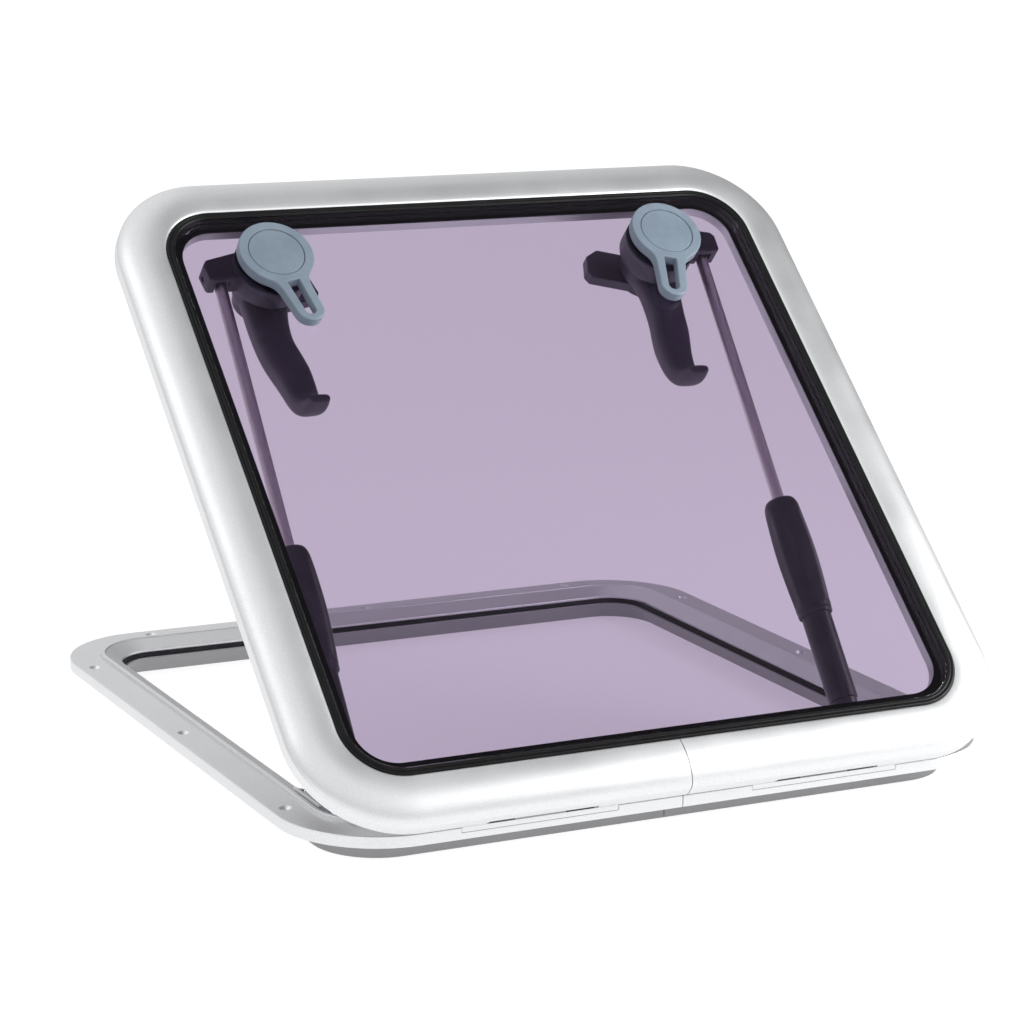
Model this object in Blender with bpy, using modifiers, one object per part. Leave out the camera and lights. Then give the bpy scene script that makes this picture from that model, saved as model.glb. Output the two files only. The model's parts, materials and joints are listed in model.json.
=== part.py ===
"""Deck hatch: a framed acrylic lid on a flanged base frame, with two concealed hinges, two latches worked
from both sides and two telescopic friction stays.

Units are metres, +Z is up. The origin is the centre of the base frame, in the plane of its lower edge, and
the hinge side is -Y. The hatch is modelled closed, with the deck's surface at zero height. The lid and what
it carries are then turned about the hinge axis to OPEN_ANGLE, and the whole is raised onto its lower edge.
"""

import math

import bmesh
import bpy
from mathutils import Matrix, Vector

MM = 0.001
SIDES = (("left", -1), ("right", 1))

# The frames are concentric rounded squares: a ring at half-width h has a corner radius of h - CORNER_CENTRE.
CORNER_CENTRE = 207 * MM
CORNER_STEPS = 5

# Base frame
FLANGE_HALF = 280 * MM
FLANGE_TOP = 8.6 * MM
RIDGE_HALF = 254 * MM
SLOPE_FOOT = Vector((238.6 * MM, 4.5 * MM))
RIDGE_TOP = 11.8 * MM
OPENING_HALF = 234.4 * MM
SPIGOT_HALF = 254 * MM
SPIGOT_BOTTOM = -15.7 * MM
HOLE_HALF = 268.3 * MM
HOLE_PITCH = 192.5 * MM
HOLE_RADIUS = 2.6 * MM
COUNTERSINK_RADIUS = 4.7 * MM

# Hinges
HINGE_Y = -279.5 * MM
HINGE_Z = 15.4 * MM
HINGE_X = 115 * MM
OPEN_ANGLE = math.radians(41.8)
KNUCKLE_RADIUS = 2.6 * MM
PIN_RADIUS = 1.2 * MM
KNUCKLE_REACH = 41.5 * MM
LID_KNUCKLE_REACH = 20 * MM
BASE_LEAF_REACH = 60.6 * MM
BASE_LEAF_BACK = -264.4 * MM
LEAF_SEAT = 5 * MM
WEB_BACK = -277.6 * MM
LEAF_THICKNESS = 2.6 * MM
BASE_SCREW_Y = -270.5 * MM
BASE_SCREW_REACH = 50 * MM
LID_SCREW_Y = -268 * MM
LID_SCREW_REACH = 29 * MM
SCREW_HEAD_RADIUS = 2.6 * MM
SCREW_SHANK_RADIUS = 1.2 * MM
SCREW_LENGTH = 5.6 * MM

# Lid, with heights given below its lip, which is LIP_Z above the deck when closed
LIP_Z = 30.8 * MM
LIP_HALF = 250 * MM
LID_HALF = 284.9 * MM
SKIRT_DEPTH = 19.3 * MM
PANE_HALF = 243.6 * MM
PANE_TOP = -0.2 * MM
PANE_THICKNESS = 10 * MM
PANE_BOTTOM = PANE_TOP - PANE_THICKNESS
LEDGE_HALF = 236 * MM
LEDGE_DEPTH = 20 * MM
LID_UNDERSIDE = LIP_Z - 11 * MM
NOTCH_HEIGHT = 2.7 * MM

# Latches
LATCH_X = 168 * MM
LATCH_Y = 201 * MM
CAP_RADIUS = 29.3 * MM
LEVER_TOP = 10 * MM
LEVER_BOTTOM = 1.4 * MM
LEVER_REACH = 67 * MM
RECESS_RADIUS = 22 * MM
LEVER_ANGLE = {"left": math.radians(10.0), "right": math.radians(15.5)}
HANDLE_LAG = {"left": math.radians(8.7), "right": math.radians(13.7)}
TONGUE_LEAD = math.radians(2)
BUSH_RADIUS = 11 * MM
BUSH_FLANGE_RADIUS = 28 * MM
SPINDLE_RADIUS = 6 * MM
SPINDLE_LOW = -50 * MM
SPINDLE_HIGH = 5.6 * MM
HOUSING_BOTTOM = -31 * MM
BOSS_RADIUS = 29 * MM
WING_REACH = 53 * MM
WING_FRONT = -10 * MM
WING_BACK = 9 * MM
WING_BOTTOM = -28 * MM
HUB_RADIUS = 22 * MM
HANDLE_GRIP_TOP = -36 * MM
HANDLE_GRIP_BOTTOM = -60 * MM
TONGUE_REACH = 49 * MM
TONGUE_HUB_RADIUS = 19 * MM
TONGUE_TOP = -47 * MM
TONGUE_THICKNESS = 10 * MM

# Stays: the upper pivot is on the lid, in closed coordinates, and the lower one on the base
STAY_X = 208 * MM
UPPER_PIVOT = Vector((0.0, 200.5 * MM, LIP_Z - 22 * MM))
LOWER_PIVOT = Vector((0.0, -172.5 * MM, -3.5 * MM))
EYE_RADIUS = 5.2 * MM
EYE_HALF = 4.75 * MM
STAY_PIN_RADIUS = 2 * MM
ROD_RADIUS = 4.75 * MM
ROD_LOW = 94 * MM
TUBE_RADIUS = 11.6 * MM
TUBE_WALL = 1.6 * MM
TUBE_FLOOR = 6 * MM
TUBE_LOW = 26 * MM
TUBE_HIGH = 176 * MM
GRIP_LOW = 97 * MM
GRIP_HIGH = 196 * MM
COLLET_HEIGHT = 4.8 * MM
FOOT_RADIUS = 8 * MM
FOOT_HALF = 5 * MM
FOOT_PIN_RADIUS = 3 * MM
BRACKET_CHEEK_IN = 216.3 * MM
BRACKET_THICKNESS = 2.4 * MM
BRACKET_FRONT = 33 * MM
BRACKET_BACK = 12 * MM
BRACKET_SCREWS = (-26 * MM, 7 * MM)

GAP = 0.3 * MM
BORE_RADIUS = SPINDLE_RADIUS + GAP
HOUSING_TOP = PANE_BOTTOM - GAP
HANDLE_TOP = HOUSING_BOTTOM - 0.5 * MM
HUB_BOTTOM = TONGUE_TOP + 0.4 * MM
TONGUE_BOTTOM = TONGUE_TOP - TONGUE_THICKNESS

HINGE_POINT = Vector((0.0, HINGE_Y, HINGE_Z))
LID_TURN = (
    Matrix.Translation(HINGE_POINT)
    @ Matrix.Rotation(OPEN_ANGLE, 4, "X")
    @ Matrix.Translation(-HINGE_POINT)
)

MATERIALS = {
    "anodised_aluminium": ((0.72, 0.73, 0.74, 1), 0.38, 1.0),
    "base_aluminium": ((0.62, 0.63, 0.64, 1), 0.42, 1.0),
    "smoked_acrylic": ((0.42, 0.34, 0.45, 0.45), 0.05, 0.0),
    "black_rubber": ((0.02, 0.02, 0.022, 1), 0.6, 0.0),
    "black_bond": ((0.008, 0.008, 0.01, 1), 0.5, 0.0),
    "black_nylon": ((0.03, 0.028, 0.035, 1), 0.45, 0.0),
    "blue_grey_nylon": ((0.30, 0.38, 0.44, 1), 0.42, 0.0),
    "stainless_steel": ((0.55, 0.54, 0.53, 1), 0.25, 1.0),
}


def clear_scene():
    for thing in list(bpy.data.objects):
        bpy.data.objects.remove(thing)


def new_collection(name):
    collection = bpy.data.collections.new(name)
    bpy.context.scene.collection.children.link(collection)
    return collection


def make_materials():
    made = {}
    for name, (colour, roughness, metallic) in MATERIALS.items():
        material = bpy.data.materials.new(name)
        material.use_nodes = True
        shader = material.node_tree.nodes["Principled BSDF"]
        shader.inputs["Base Color"].default_value = colour
        shader.inputs["Roughness"].default_value = roughness
        shader.inputs["Metallic"].default_value = metallic
        shader.inputs["Alpha"].default_value = colour[3]
        made[name] = material
    return made


clear_scene()
PARTS = new_collection("deck_hatch")
CUTTERS = new_collection("cutters")
FINISHES = make_materials()


# ---- Shape helpers -------------------------------------------------------------------------------------


def add_object(name, data):
    made = bpy.data.objects.new(name, data)
    PARTS.objects.link(made)
    return made


def solid_from(curve_object):
    """Replaces a curve object with a welded mesh object that faces outwards."""
    bpy.context.view_layer.update()
    graph = bpy.context.evaluated_depsgraph_get()
    mesh = bpy.data.meshes.new_from_object(curve_object.evaluated_get(graph))
    name = curve_object.name
    place = curve_object.matrix_world.copy()
    bpy.data.objects.remove(curve_object)
    work = bmesh.new()
    work.from_mesh(mesh)
    bmesh.ops.remove_doubles(work, verts=work.verts, dist=1e-6)
    bmesh.ops.recalc_face_normals(work, faces=work.faces)
    work.to_mesh(mesh)
    work.free()
    mesh.name = name
    made = add_object(name, mesh)
    made.matrix_world = place
    return made


def flat_curve(name, points, fill="NONE"):
    """A closed flat outline through the points."""
    data = bpy.data.curves.new(name, "CURVE")
    data.dimensions = "2D"
    data.fill_mode = fill
    spline = data.splines.new("POLY")
    spline.points.add(len(points) - 1)
    for point, place in zip(spline.points, points):
        point.co = (place[0], place[1], 0, 1)
    spline.use_cyclic_u = True
    return add_object(name, data)


def rounded_square(half, radius, steps=CORNER_STEPS):
    """Points round a square with round corners, counter-clockwise."""
    points = []
    for corner, (sign_x, sign_y) in enumerate(((1, 1), (-1, 1), (-1, -1), (1, -1))):
        for step in range(steps + 1):
            angle = math.pi / 2 * (corner + step / steps)
            x = sign_x * (half - radius) + radius * math.cos(angle)
            y = sign_y * (half - radius) + radius * math.sin(angle)
            points.append((x, y))
    return points


def ring(name, profile, raise_by=0.0):
    """A closed rounded-square ring. The profile's points are (half-width, height)."""
    path = flat_curve(name, rounded_square(LIP_HALF, LIP_HALF - CORNER_CENTRE))
    outline = [(LIP_HALF - half, height + raise_by) for half, height in profile]
    section = flat_curve(name + "_section", outline)
    path.data.bevel_mode = "OBJECT"
    path.data.bevel_object = section
    made = solid_from(path)
    bpy.data.objects.remove(section)
    return made


def plate(name, outline, low, high):
    """A flat outline given thickness, from height low to height high."""
    curve = flat_curve(name, outline, fill="BOTH")
    curve.data.extrude = (high - low) / 2
    curve.location.z = (high + low) / 2
    made = solid_from(curve)
    bake_place(made)
    return made


def bake_place(made):
    """Moves an object's placement into its mesh."""
    bpy.context.view_layer.update()
    made.data.transform(made.matrix_world)
    made.matrix_world = Matrix.Identity(4)


def turned(name, profile, segments=20, start=Vector(), direction=Vector((0, 0, 1))):
    """A turned shape. The profile's points are (radius, height), from the top down its outer side."""
    mesh = bpy.data.meshes.new(name)
    work = bmesh.new()
    corners = [work.verts.new((radius, 0, height)) for radius, height in profile]
    for first, second in zip(corners, corners[1:] + corners[:1]):
        if first.co.x > 0 or second.co.x > 0:
            work.edges.new((first, second))
    work.to_mesh(mesh)
    work.free()
    made = add_object(name, mesh)
    screw = made.modifiers.new("turn", "SCREW")
    screw.steps = screw.render_steps = segments
    screw.use_merge_vertices = True
    screw.merge_threshold = 0.00001
    bpy.context.view_layer.update()
    graph = bpy.context.evaluated_depsgraph_get()
    whole = bpy.data.meshes.new_from_object(made.evaluated_get(graph))
    bpy.data.objects.remove(made)
    work = bmesh.new()
    work.from_mesh(whole)
    bmesh.ops.remove_doubles(work, verts=work.verts, dist=1e-6)
    bmesh.ops.recalc_face_normals(work, faces=work.faces)
    turn = direction.to_track_quat("Z", "Y").to_matrix().to_4x4()
    work.transform(Matrix.Translation(start) @ turn)
    work.to_mesh(whole)
    work.free()
    return add_object(name, whole)


def rod_between(name, radius, start, end, segments=16):
    """A plain round bar."""
    along = end - start
    work = bmesh.new()
    bmesh.ops.create_cone(
        work, cap_ends=True, segments=segments, radius1=radius, radius2=radius, depth=along.length
    )
    turn = along.to_track_quat("Z", "Y").to_matrix().to_4x4()
    work.transform(Matrix.Translation((start + end) / 2) @ turn)
    mesh = bpy.data.meshes.new(name)
    work.to_mesh(mesh)
    work.free()
    return add_object(name, mesh)


def box(name, low, high):
    """A box from its lowest to its highest corner."""
    work = bmesh.new()
    bmesh.ops.create_cube(work, size=1)
    size = Vector(high) - Vector(low)
    centre = (Vector(high) + Vector(low)) / 2
    work.transform(Matrix.Translation(centre) @ Matrix.Diagonal(size.to_4d()))
    mesh = bpy.data.meshes.new(name)
    work.to_mesh(mesh)
    work.free()
    return add_object(name, mesh)


def soften(made, width, segments=2, angle=30):
    """Rounds an object's sharp edges."""
    bevel = made.modifiers.new("round", "BEVEL")
    bevel.width = width
    bevel.segments = segments
    bevel.limit_method = "ANGLE"
    bevel.angle_limit = math.radians(angle)
    bake_modifiers(made)
    return made


def bake_modifiers(made):
    bpy.context.view_layer.update()
    graph = bpy.context.evaluated_depsgraph_get()
    mesh = bpy.data.meshes.new_from_object(made.evaluated_get(graph))
    made.modifiers.clear()
    made.data = mesh


def combine(made, others, operation):
    """Joins or cuts an object by others, which are used up."""
    for other in others:
        PARTS.objects.unlink(other)
        CUTTERS.objects.link(other)
        other.display_type = "WIRE"
        other.hide_render = True
        boolean = made.modifiers.new(operation.lower(), "BOOLEAN")
        boolean.operation = operation
        boolean.object = other
        boolean.solver = "EXACT"
        bake_modifiers(made)
        bpy.data.objects.remove(other)
    return made


def join(made, *others):
    return combine(made, others, "UNION")


def cut(made, *others):
    return combine(made, others, "DIFFERENCE")


def round_bevelled(radius, low, high, edge):
    """A turned profile for a disc with both rims chamfered."""
    upper = [(0, high), (radius - edge, high), (radius, high - edge)]
    lower = [(radius, low + edge), (radius - edge, low), (0, low)]
    return upper + lower


def arc(centre, radius, start, end, steps):
    """Points on an arc, with the angles in degrees."""
    points = []
    for step in range(steps + 1):
        angle = math.radians(start + (end - start) * step / steps)
        points.append((centre[0] + radius * math.cos(angle), centre[1] + radius * math.sin(angle)))
    return points


def empty(name, place, parent=None):
    """An axis marker. Its own place is where its joint turns or slides."""
    made = bpy.data.objects.new(name, None)
    made.empty_display_size = 0.03
    PARTS.objects.link(made)
    made.parent = parent
    made.matrix_world = place
    bpy.context.view_layer.update()
    return made


def finish(made, finish_name, body):
    """Gives a piece its material, and hangs it on its body's axis marker."""
    made.data.materials.clear()
    made.data.materials.append(FINISHES[finish_name])
    made.data.shade_smooth()
    made.data.set_sharp_from_angle(angle=math.radians(32))
    if body is None:
        return made
    marker, built_at = body
    made.parent = marker
    made.matrix_parent_inverse = built_at.inverted()
    return made


# ---- Base ----------------------------------------------------------------------------------------------


def countersunk_hole(name, centre, top):
    """A cutter for a countersunk screw hole that opens upwards."""
    depth = 14 * MM
    sink = COUNTERSINK_RADIUS - HOLE_RADIUS
    profile = [
        (0, MM),
        (COUNTERSINK_RADIUS, MM),
        (COUNTERSINK_RADIUS, 0),
        (HOLE_RADIUS, -sink),
        (HOLE_RADIUS, -depth),
        (0, -depth),
    ]
    return turned(name, profile, 10, Vector((centre[0], centre[1], top)))


def make_base_frame():
    section = [
        (FLANGE_HALF, 0),
        (FLANGE_HALF, FLANGE_TOP - 0.8 * MM),
        (FLANGE_HALF - 0.8 * MM, FLANGE_TOP),
        (RIDGE_HALF + 1.8 * MM, FLANGE_TOP),
        (RIDGE_HALF + 1.4 * MM, RIDGE_TOP - 0.7 * MM),
        (RIDGE_HALF + 0.6 * MM, RIDGE_TOP),
        (RIDGE_HALF - 1.8 * MM, RIDGE_TOP),
        (RIDGE_HALF - 2.6 * MM, RIDGE_TOP - MM),
        tuple(SLOPE_FOOT),
        (SLOPE_FOOT.x, -0.5 * MM),
        (OPENING_HALF + 0.3 * MM, -0.5 * MM),
        (OPENING_HALF, -0.8 * MM),
        (OPENING_HALF, -1.8 * MM),
        (245.6 * MM, SPIGOT_BOTTOM + 0.6 * MM),
        (246.4 * MM, SPIGOT_BOTTOM),
        (SPIGOT_HALF - 0.6 * MM, SPIGOT_BOTTOM),
        (SPIGOT_HALF, SPIGOT_BOTTOM + 0.6 * MM),
        (SPIGOT_HALF, 0),
    ]
    frame = ring("base_frame", section)
    holes = []
    for along in (-HOLE_PITCH, 0, HOLE_PITCH):
        for side in (-HOLE_HALF, HOLE_HALF):
            holes.append(countersunk_hole("hole", (along, side), FLANGE_TOP))
            holes.append(countersunk_hole("hole", (side, along), FLANGE_TOP))
    for _, sign in SIDES:
        middle = sign * HINGE_X
        reach = BASE_LEAF_REACH + GAP
        low = (middle - reach, -FLANGE_HALF - 2 * MM, LEAF_SEAT - GAP)
        high = (middle + reach, BASE_LEAF_BACK + GAP, RIDGE_TOP + GAP)
        holes.append(box("pocket", low, high))
    cut(frame, *holes)
    return frame


def make_base_seal():
    section = [
        (238.2 * MM, 2.6 * MM),
        (237.2 * MM, 2.4 * MM),
        (235.8 * MM, 0.9 * MM),
        (235.2 * MM, -0.1 * MM),
        (238.2 * MM, -0.1 * MM),
    ]
    return finish(ring("base_seal", section), "black_rubber", None)


def hinge_screw(name, x, y, top, upwards, finish_name, body):
    """A small countersunk screw. Its head's face is at height top."""
    head = SCREW_HEAD_RADIUS
    shank = SCREW_SHANK_RADIUS
    profile = [(0, 0), (head, 0), (shank, shank - head), (shank, -SCREW_LENGTH), (0, -SCREW_LENGTH)]
    screw = turned(name, profile, 10, Vector((x, y, top)), Vector((0, 0, 1 if upwards else -1)))
    return finish(screw, finish_name, body)


def screw_hole(x, y, top, upwards):
    """The clearance that a hinge screw needs in its leaf and in the frame behind."""
    head = SCREW_HEAD_RADIUS + GAP
    shank = SCREW_SHANK_RADIUS + GAP
    taper = head - shank
    profile = [
        (0, 0.6 * MM),
        (head, 0.6 * MM),
        (head, -0.1 * MM),
        (shank, -taper - 0.1 * MM),
        (shank, -6 * MM),
        (0, -6 * MM),
    ]
    return turned("screw_hole", profile, 10, Vector((x, y, top)), Vector((0, 0, 1 if upwards else -1)))


def knuckle(name, middle, low, high):
    """A hinge knuckle along X, before its bore is cut."""
    start = Vector((middle + low, HINGE_Y, HINGE_Z))
    end = Vector((middle + high, HINGE_Y, HINGE_Z))
    return rod_between(name, KNUCKLE_RADIUS, start, end, 16)


def hinge_bore(middle):
    start = Vector((middle - 60 * MM, HINGE_Y, HINGE_Z))
    end = Vector((middle + 60 * MM, HINGE_Y, HINGE_Z))
    return rod_between("bore", PIN_RADIUS + GAP, start, end, 16)


def make_base_leaf(side, sign, frame):
    """The fixed leaf: a bar let into the flange's front edge, with a knuckle near each end."""
    middle = sign * HINGE_X
    leaf = box(
        "hinge_base_leaf_" + side,
        (middle - BASE_LEAF_REACH, -FLANGE_HALF + 0.1 * MM, LEAF_SEAT),
        (middle + BASE_LEAF_REACH, BASE_LEAF_BACK, FLANGE_TOP),
    )
    inner = LID_KNUCKLE_REACH + 0.4 * MM
    for low, high in ((-KNUCKLE_REACH, -inner), (inner, KNUCKLE_REACH)):
        web_low = (middle + low, -FLANGE_HALF, FLANGE_TOP - 0.6 * MM)
        web_high = (middle + high, WEB_BACK, HINGE_Z - MM)
        web = box("web", web_low, web_high)
        join(leaf, web, knuckle("barrel", middle, low, high))
    cut(leaf, hinge_bore(middle))
    for number, offset in enumerate((-BASE_SCREW_REACH, BASE_SCREW_REACH), 1):
        cut(leaf, screw_hole(middle + offset, BASE_SCREW_Y, FLANGE_TOP - 0.1 * MM, True))
        cut(frame, screw_hole(middle + offset, BASE_SCREW_Y, FLANGE_TOP - 0.1 * MM, True))
        hinge_screw(
            f"hinge_base_screw_{side}_{number}",
            middle + offset,
            BASE_SCREW_Y,
            FLANGE_TOP - 0.1 * MM,
            True,
            "stainless_steel",
            None,
        )
    return finish(leaf, "base_aluminium", None)


# ---- Lid -----------------------------------------------------------------------------------------------


def make_lid_frame():
    section = [
        (LIP_HALF, 0),
        (251.5 * MM, 0.6 * MM),
        (256 * MM, 1.2 * MM),
        (262 * MM, 1.3 * MM),
        (268 * MM, 0.7 * MM),
        (273.5 * MM, -0.7 * MM),
        (278 * MM, -2.7 * MM),
        (281.5 * MM, -5.2 * MM),
        (283.7 * MM, -7.6 * MM),
        (284.3 * MM, -8.7 * MM),
        (283.9 * MM, -9.3 * MM),
        (284.7 * MM, -10 * MM),
        (LID_HALF, -14 * MM),
        (LID_HALF, -18.9 * MM),
        (284.5 * MM, -SKIRT_DEPTH),
        (282.7 * MM, -SKIRT_DEPTH),
        (282.4 * MM, -19 * MM),
        (282.4 * MM, -11 * MM),
        (259 * MM, -11 * MM),
        (259 * MM, -8.6 * MM),
        (255 * MM, -8.6 * MM),
        (255 * MM, -11 * MM),
        (252.2 * MM, -11 * MM),
        (251.8 * MM, -14.4 * MM),
        (251.2 * MM, -15 * MM),
        (LEDGE_HALF + 3.2 * MM, -15 * MM),
        (LEDGE_HALF + 2.8 * MM, -LEDGE_DEPTH),
        (LEDGE_HALF + 0.4 * MM, -LEDGE_DEPTH),
        (LEDGE_HALF, 0.4 * MM - LEDGE_DEPTH),
        (LEDGE_HALF, -11.9 * MM),
        (LIP_HALF, -11.9 * MM),
    ]
    frame = ring("lid_frame", section, LIP_Z)
    for _, sign in SIDES:
        middle = sign * HINGE_X
        reach = KNUCKLE_REACH + 2 * MM
        bottom = LIP_Z - SKIRT_DEPTH
        low = (middle - reach, -LID_HALF - 5 * MM, bottom - MM)
        high = (middle + reach, -LID_HALF + 4 * MM, bottom + NOTCH_HEIGHT)
        cut(frame, box("notch", low, high))
    return frame


def make_lid_leaf(side, sign, frame, body):
    """The moving leaf: a plate under the lid's front rail, with one long knuckle."""
    middle = sign * HINGE_X
    top = LID_UNDERSIDE - GAP
    low = top - LEAF_THICKNESS
    reach = LID_KNUCKLE_REACH
    leaf = box(
        "hinge_lid_leaf_" + side,
        (middle - 2 * reach, -276 * MM, low),
        (middle + 2 * reach, -262 * MM, top),
    )
    neck_low = (middle - reach, HINGE_Y, low - 0.6 * MM)
    neck_high = (middle + reach, -270 * MM, top - 0.2 * MM)
    neck = box("neck", neck_low, neck_high)
    join(leaf, neck, knuckle("barrel", middle, -reach, reach))
    cut(leaf, hinge_bore(middle))
    for number, offset in enumerate((-LID_SCREW_REACH, LID_SCREW_REACH), 1):
        cut(leaf, screw_hole(middle + offset, LID_SCREW_Y, low + 0.1 * MM, False))
        cut(frame, screw_hole(middle + offset, LID_SCREW_Y, low + 0.1 * MM, False))
        hinge_screw(
            f"hinge_lid_screw_{side}_{number}",
            middle + offset,
            LID_SCREW_Y,
            low + 0.1 * MM,
            False,
            "stainless_steel",
            body,
        )
    return finish(leaf, "anodised_aluminium", body)


def make_hinge_pin(side, sign, body):
    """A headed pin through the knuckles. The head is at the pin's +X end."""
    middle = sign * HINGE_X
    head_height = 1.2 * MM
    length = 2 * KNUCKLE_REACH + MM
    profile = [
        (0, length + head_height),
        (2 * MM, length + head_height),
        (2.2 * MM, length + 0.6 * head_height),
        (2.2 * MM, length),
        (PIN_RADIUS, length),
        (PIN_RADIUS, 0),
        (0, 0),
    ]
    start = Vector((middle - KNUCKLE_REACH - 0.7 * MM, HINGE_Y, HINGE_Z))
    pin = turned("hinge_pin_" + side, profile, 16, start, Vector((1, 0, 0)))
    return finish(pin, "stainless_steel", body)


def make_glazing(body):
    gasket_section = [
        (LIP_HALF - GAP, -11.6 * MM),
        (LIP_HALF - GAP, 0.2 * MM),
        (248.6 * MM, 0.9 * MM),
        (246 * MM, 1.1 * MM),
        (244.4 * MM, 0.6 * MM),
        (243.9 * MM, 0.1 * MM),
        (243.9 * MM, -11.6 * MM),
    ]
    finish(ring("glazing_gasket", gasket_section, LIP_Z), "black_rubber", body)
    bond_section = [
        (243.5 * MM, -11.6 * MM),
        (243.5 * MM, PANE_BOTTOM - GAP),
        (LEDGE_HALF, PANE_BOTTOM - GAP),
        (LEDGE_HALF, -11.6 * MM),
    ]
    finish(ring("bond_ring", bond_section, LIP_Z), "black_bond", body)
    seal_section = [
        (258.7 * MM, -8.9 * MM),
        (258.7 * MM, -11.3 * MM),
        (260.6 * MM, -12.2 * MM),
        (261.2 * MM, -15 * MM),
        (260 * MM, -17.6 * MM),
        (257 * MM, -18.6 * MM),
        (254.2 * MM, -17.6 * MM),
        (252.9 * MM, -15 * MM),
        (253.4 * MM, -12.2 * MM),
        (255.3 * MM, -11.3 * MM),
        (255.3 * MM, -8.9 * MM),
    ]
    finish(ring("lid_seal", seal_section, LIP_Z), "black_rubber", body)
    outline = rounded_square(PANE_HALF, PANE_HALF - CORNER_CENTRE)
    pane = plate("lid_pane", outline, LIP_Z + PANE_BOTTOM, LIP_Z + PANE_TOP)
    for _, sign in SIDES:
        start = Vector((sign * LATCH_X, LATCH_Y, LIP_Z - 20 * MM))
        end = Vector((sign * LATCH_X, LATCH_Y, LIP_Z + 5 * MM))
        cut(pane, rod_between("hole", BUSH_RADIUS + GAP, start, end, 24))
    return finish(pane, "smoked_acrylic", body)


# ---- Latches -------------------------------------------------------------------------------------------
# Each is built about the Z axis, with the lever and the handle pointing at -Y, and inwards at +X for the
# left latch. The right one is its mirror image.


def mirror_x(made):
    """Mirrors a mesh in the YZ plane."""
    work = bmesh.new()
    work.from_mesh(made.data)
    work.transform(Matrix.Diagonal((-1, 1, 1, 1)))
    bmesh.ops.reverse_faces(work, faces=work.faces)
    work.to_mesh(made.data)
    work.free()
    return made


def place_on_latch(made, side, sign, turn=0.0):
    """Puts a piece built about the Z axis onto its spindle, turned inwards."""
    if sign > 0:
        mirror_x(made)
    angle = -sign * turn
    made.data.transform(
        Matrix.Translation((sign * LATCH_X, LATCH_Y, LIP_Z)) @ Matrix.Rotation(angle, 4, "Z")
    )
    return made


def lever_outline():
    """A round cap that narrows into a round-ended arm."""
    tip = 11 * MM
    tip_centre = (0, -LEVER_REACH + tip)
    fillet = 17 * MM
    shoulder = tip + 1.2 * MM + fillet
    drop = math.sqrt((CAP_RADIUS + fillet) ** 2 - shoulder**2)
    meet = math.degrees(math.atan2(drop, shoulder))
    points = arc((0, 0), CAP_RADIUS, -meet, 180 + meet, 20)
    points += arc((-shoulder, -drop), fillet, meet, 0, 3)
    points += arc(tip_centre, tip, 180, 360, 8)
    points += arc((shoulder, -drop), fillet, 180, 180 - meet, 3)
    return points


def slot_outline():
    """The finger slot in the arm: square at the cap and round at the tip."""
    half = 5 * MM
    end_radius = 4 * MM
    points = [(half, -28 * MM), (-half, -28 * MM)]
    points += arc((0, -57 * MM), end_radius, 180, 360, 6)
    return points


def make_outside_lever(side, sign, body):
    lever = plate("outside_lever_" + side, lever_outline(), LEVER_BOTTOM, LEVER_TOP)
    soften(lever, 1.2 * MM, 1, 40)
    slot = plate("slot", slot_outline(), LEVER_BOTTOM - 2 * MM, LEVER_TOP + 2 * MM)
    above = LEVER_TOP + MM
    seat = LEVER_TOP - 2.4 * MM
    recess = [(0, above), (RECESS_RADIUS, above), (RECESS_RADIUS, seat), (0, seat)]
    end = SPINDLE_HIGH + GAP
    socket = [(0, end), (BORE_RADIUS, end), (BORE_RADIUS, 0), (0, 0)]
    cut(lever, slot, turned("recess", recess, 24), turned("socket", socket, 12))
    place_on_latch(lever, side, sign, LEVER_ANGLE[side])
    return finish(lever, "blue_grey_nylon", body)


def make_cap_disc(side, sign, body):
    """The disc that closes the lever's cap over the spindle's end."""
    low = LEVER_TOP - 2.1 * MM
    profile = round_bevelled(RECESS_RADIUS - 0.4 * MM, low, LEVER_TOP - 0.2 * MM, 0.3 * MM)
    disc = turned("lever_disc_" + side, profile, 24)
    place_on_latch(disc, side, sign, LEVER_ANGLE[side])
    return finish(disc, "blue_grey_nylon", body)


def make_spindle(side, sign, body):
    start = Vector((0, 0, SPINDLE_LOW))
    end = Vector((0, 0, SPINDLE_HIGH))
    spindle = rod_between("latch_spindle_" + side, SPINDLE_RADIUS, start, end, 16)
    place_on_latch(spindle, side, sign, LEVER_ANGLE[side])
    return finish(spindle, "stainless_steel", body)


def make_spindle_bush(side, sign, body):
    """A flanged bush that lines the hole in the pane and carries the spindle."""
    flange_low = PANE_TOP + 0.2 * MM
    flange_high = LEVER_BOTTOM - 0.2 * MM
    profile = [
        (BORE_RADIUS, flange_high),
        (BUSH_FLANGE_RADIUS - 0.5 * MM, flange_high),
        (BUSH_FLANGE_RADIUS, flange_high - 0.4 * MM),
        (BUSH_FLANGE_RADIUS, flange_low),
        (BUSH_RADIUS, flange_low),
        (BUSH_RADIUS, PANE_BOTTOM),
        (BORE_RADIUS, PANE_BOTTOM),
    ]
    bush = turned("spindle_bush_" + side, profile, 24)
    place_on_latch(bush, side, sign)
    return finish(bush, "black_nylon", body)


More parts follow.
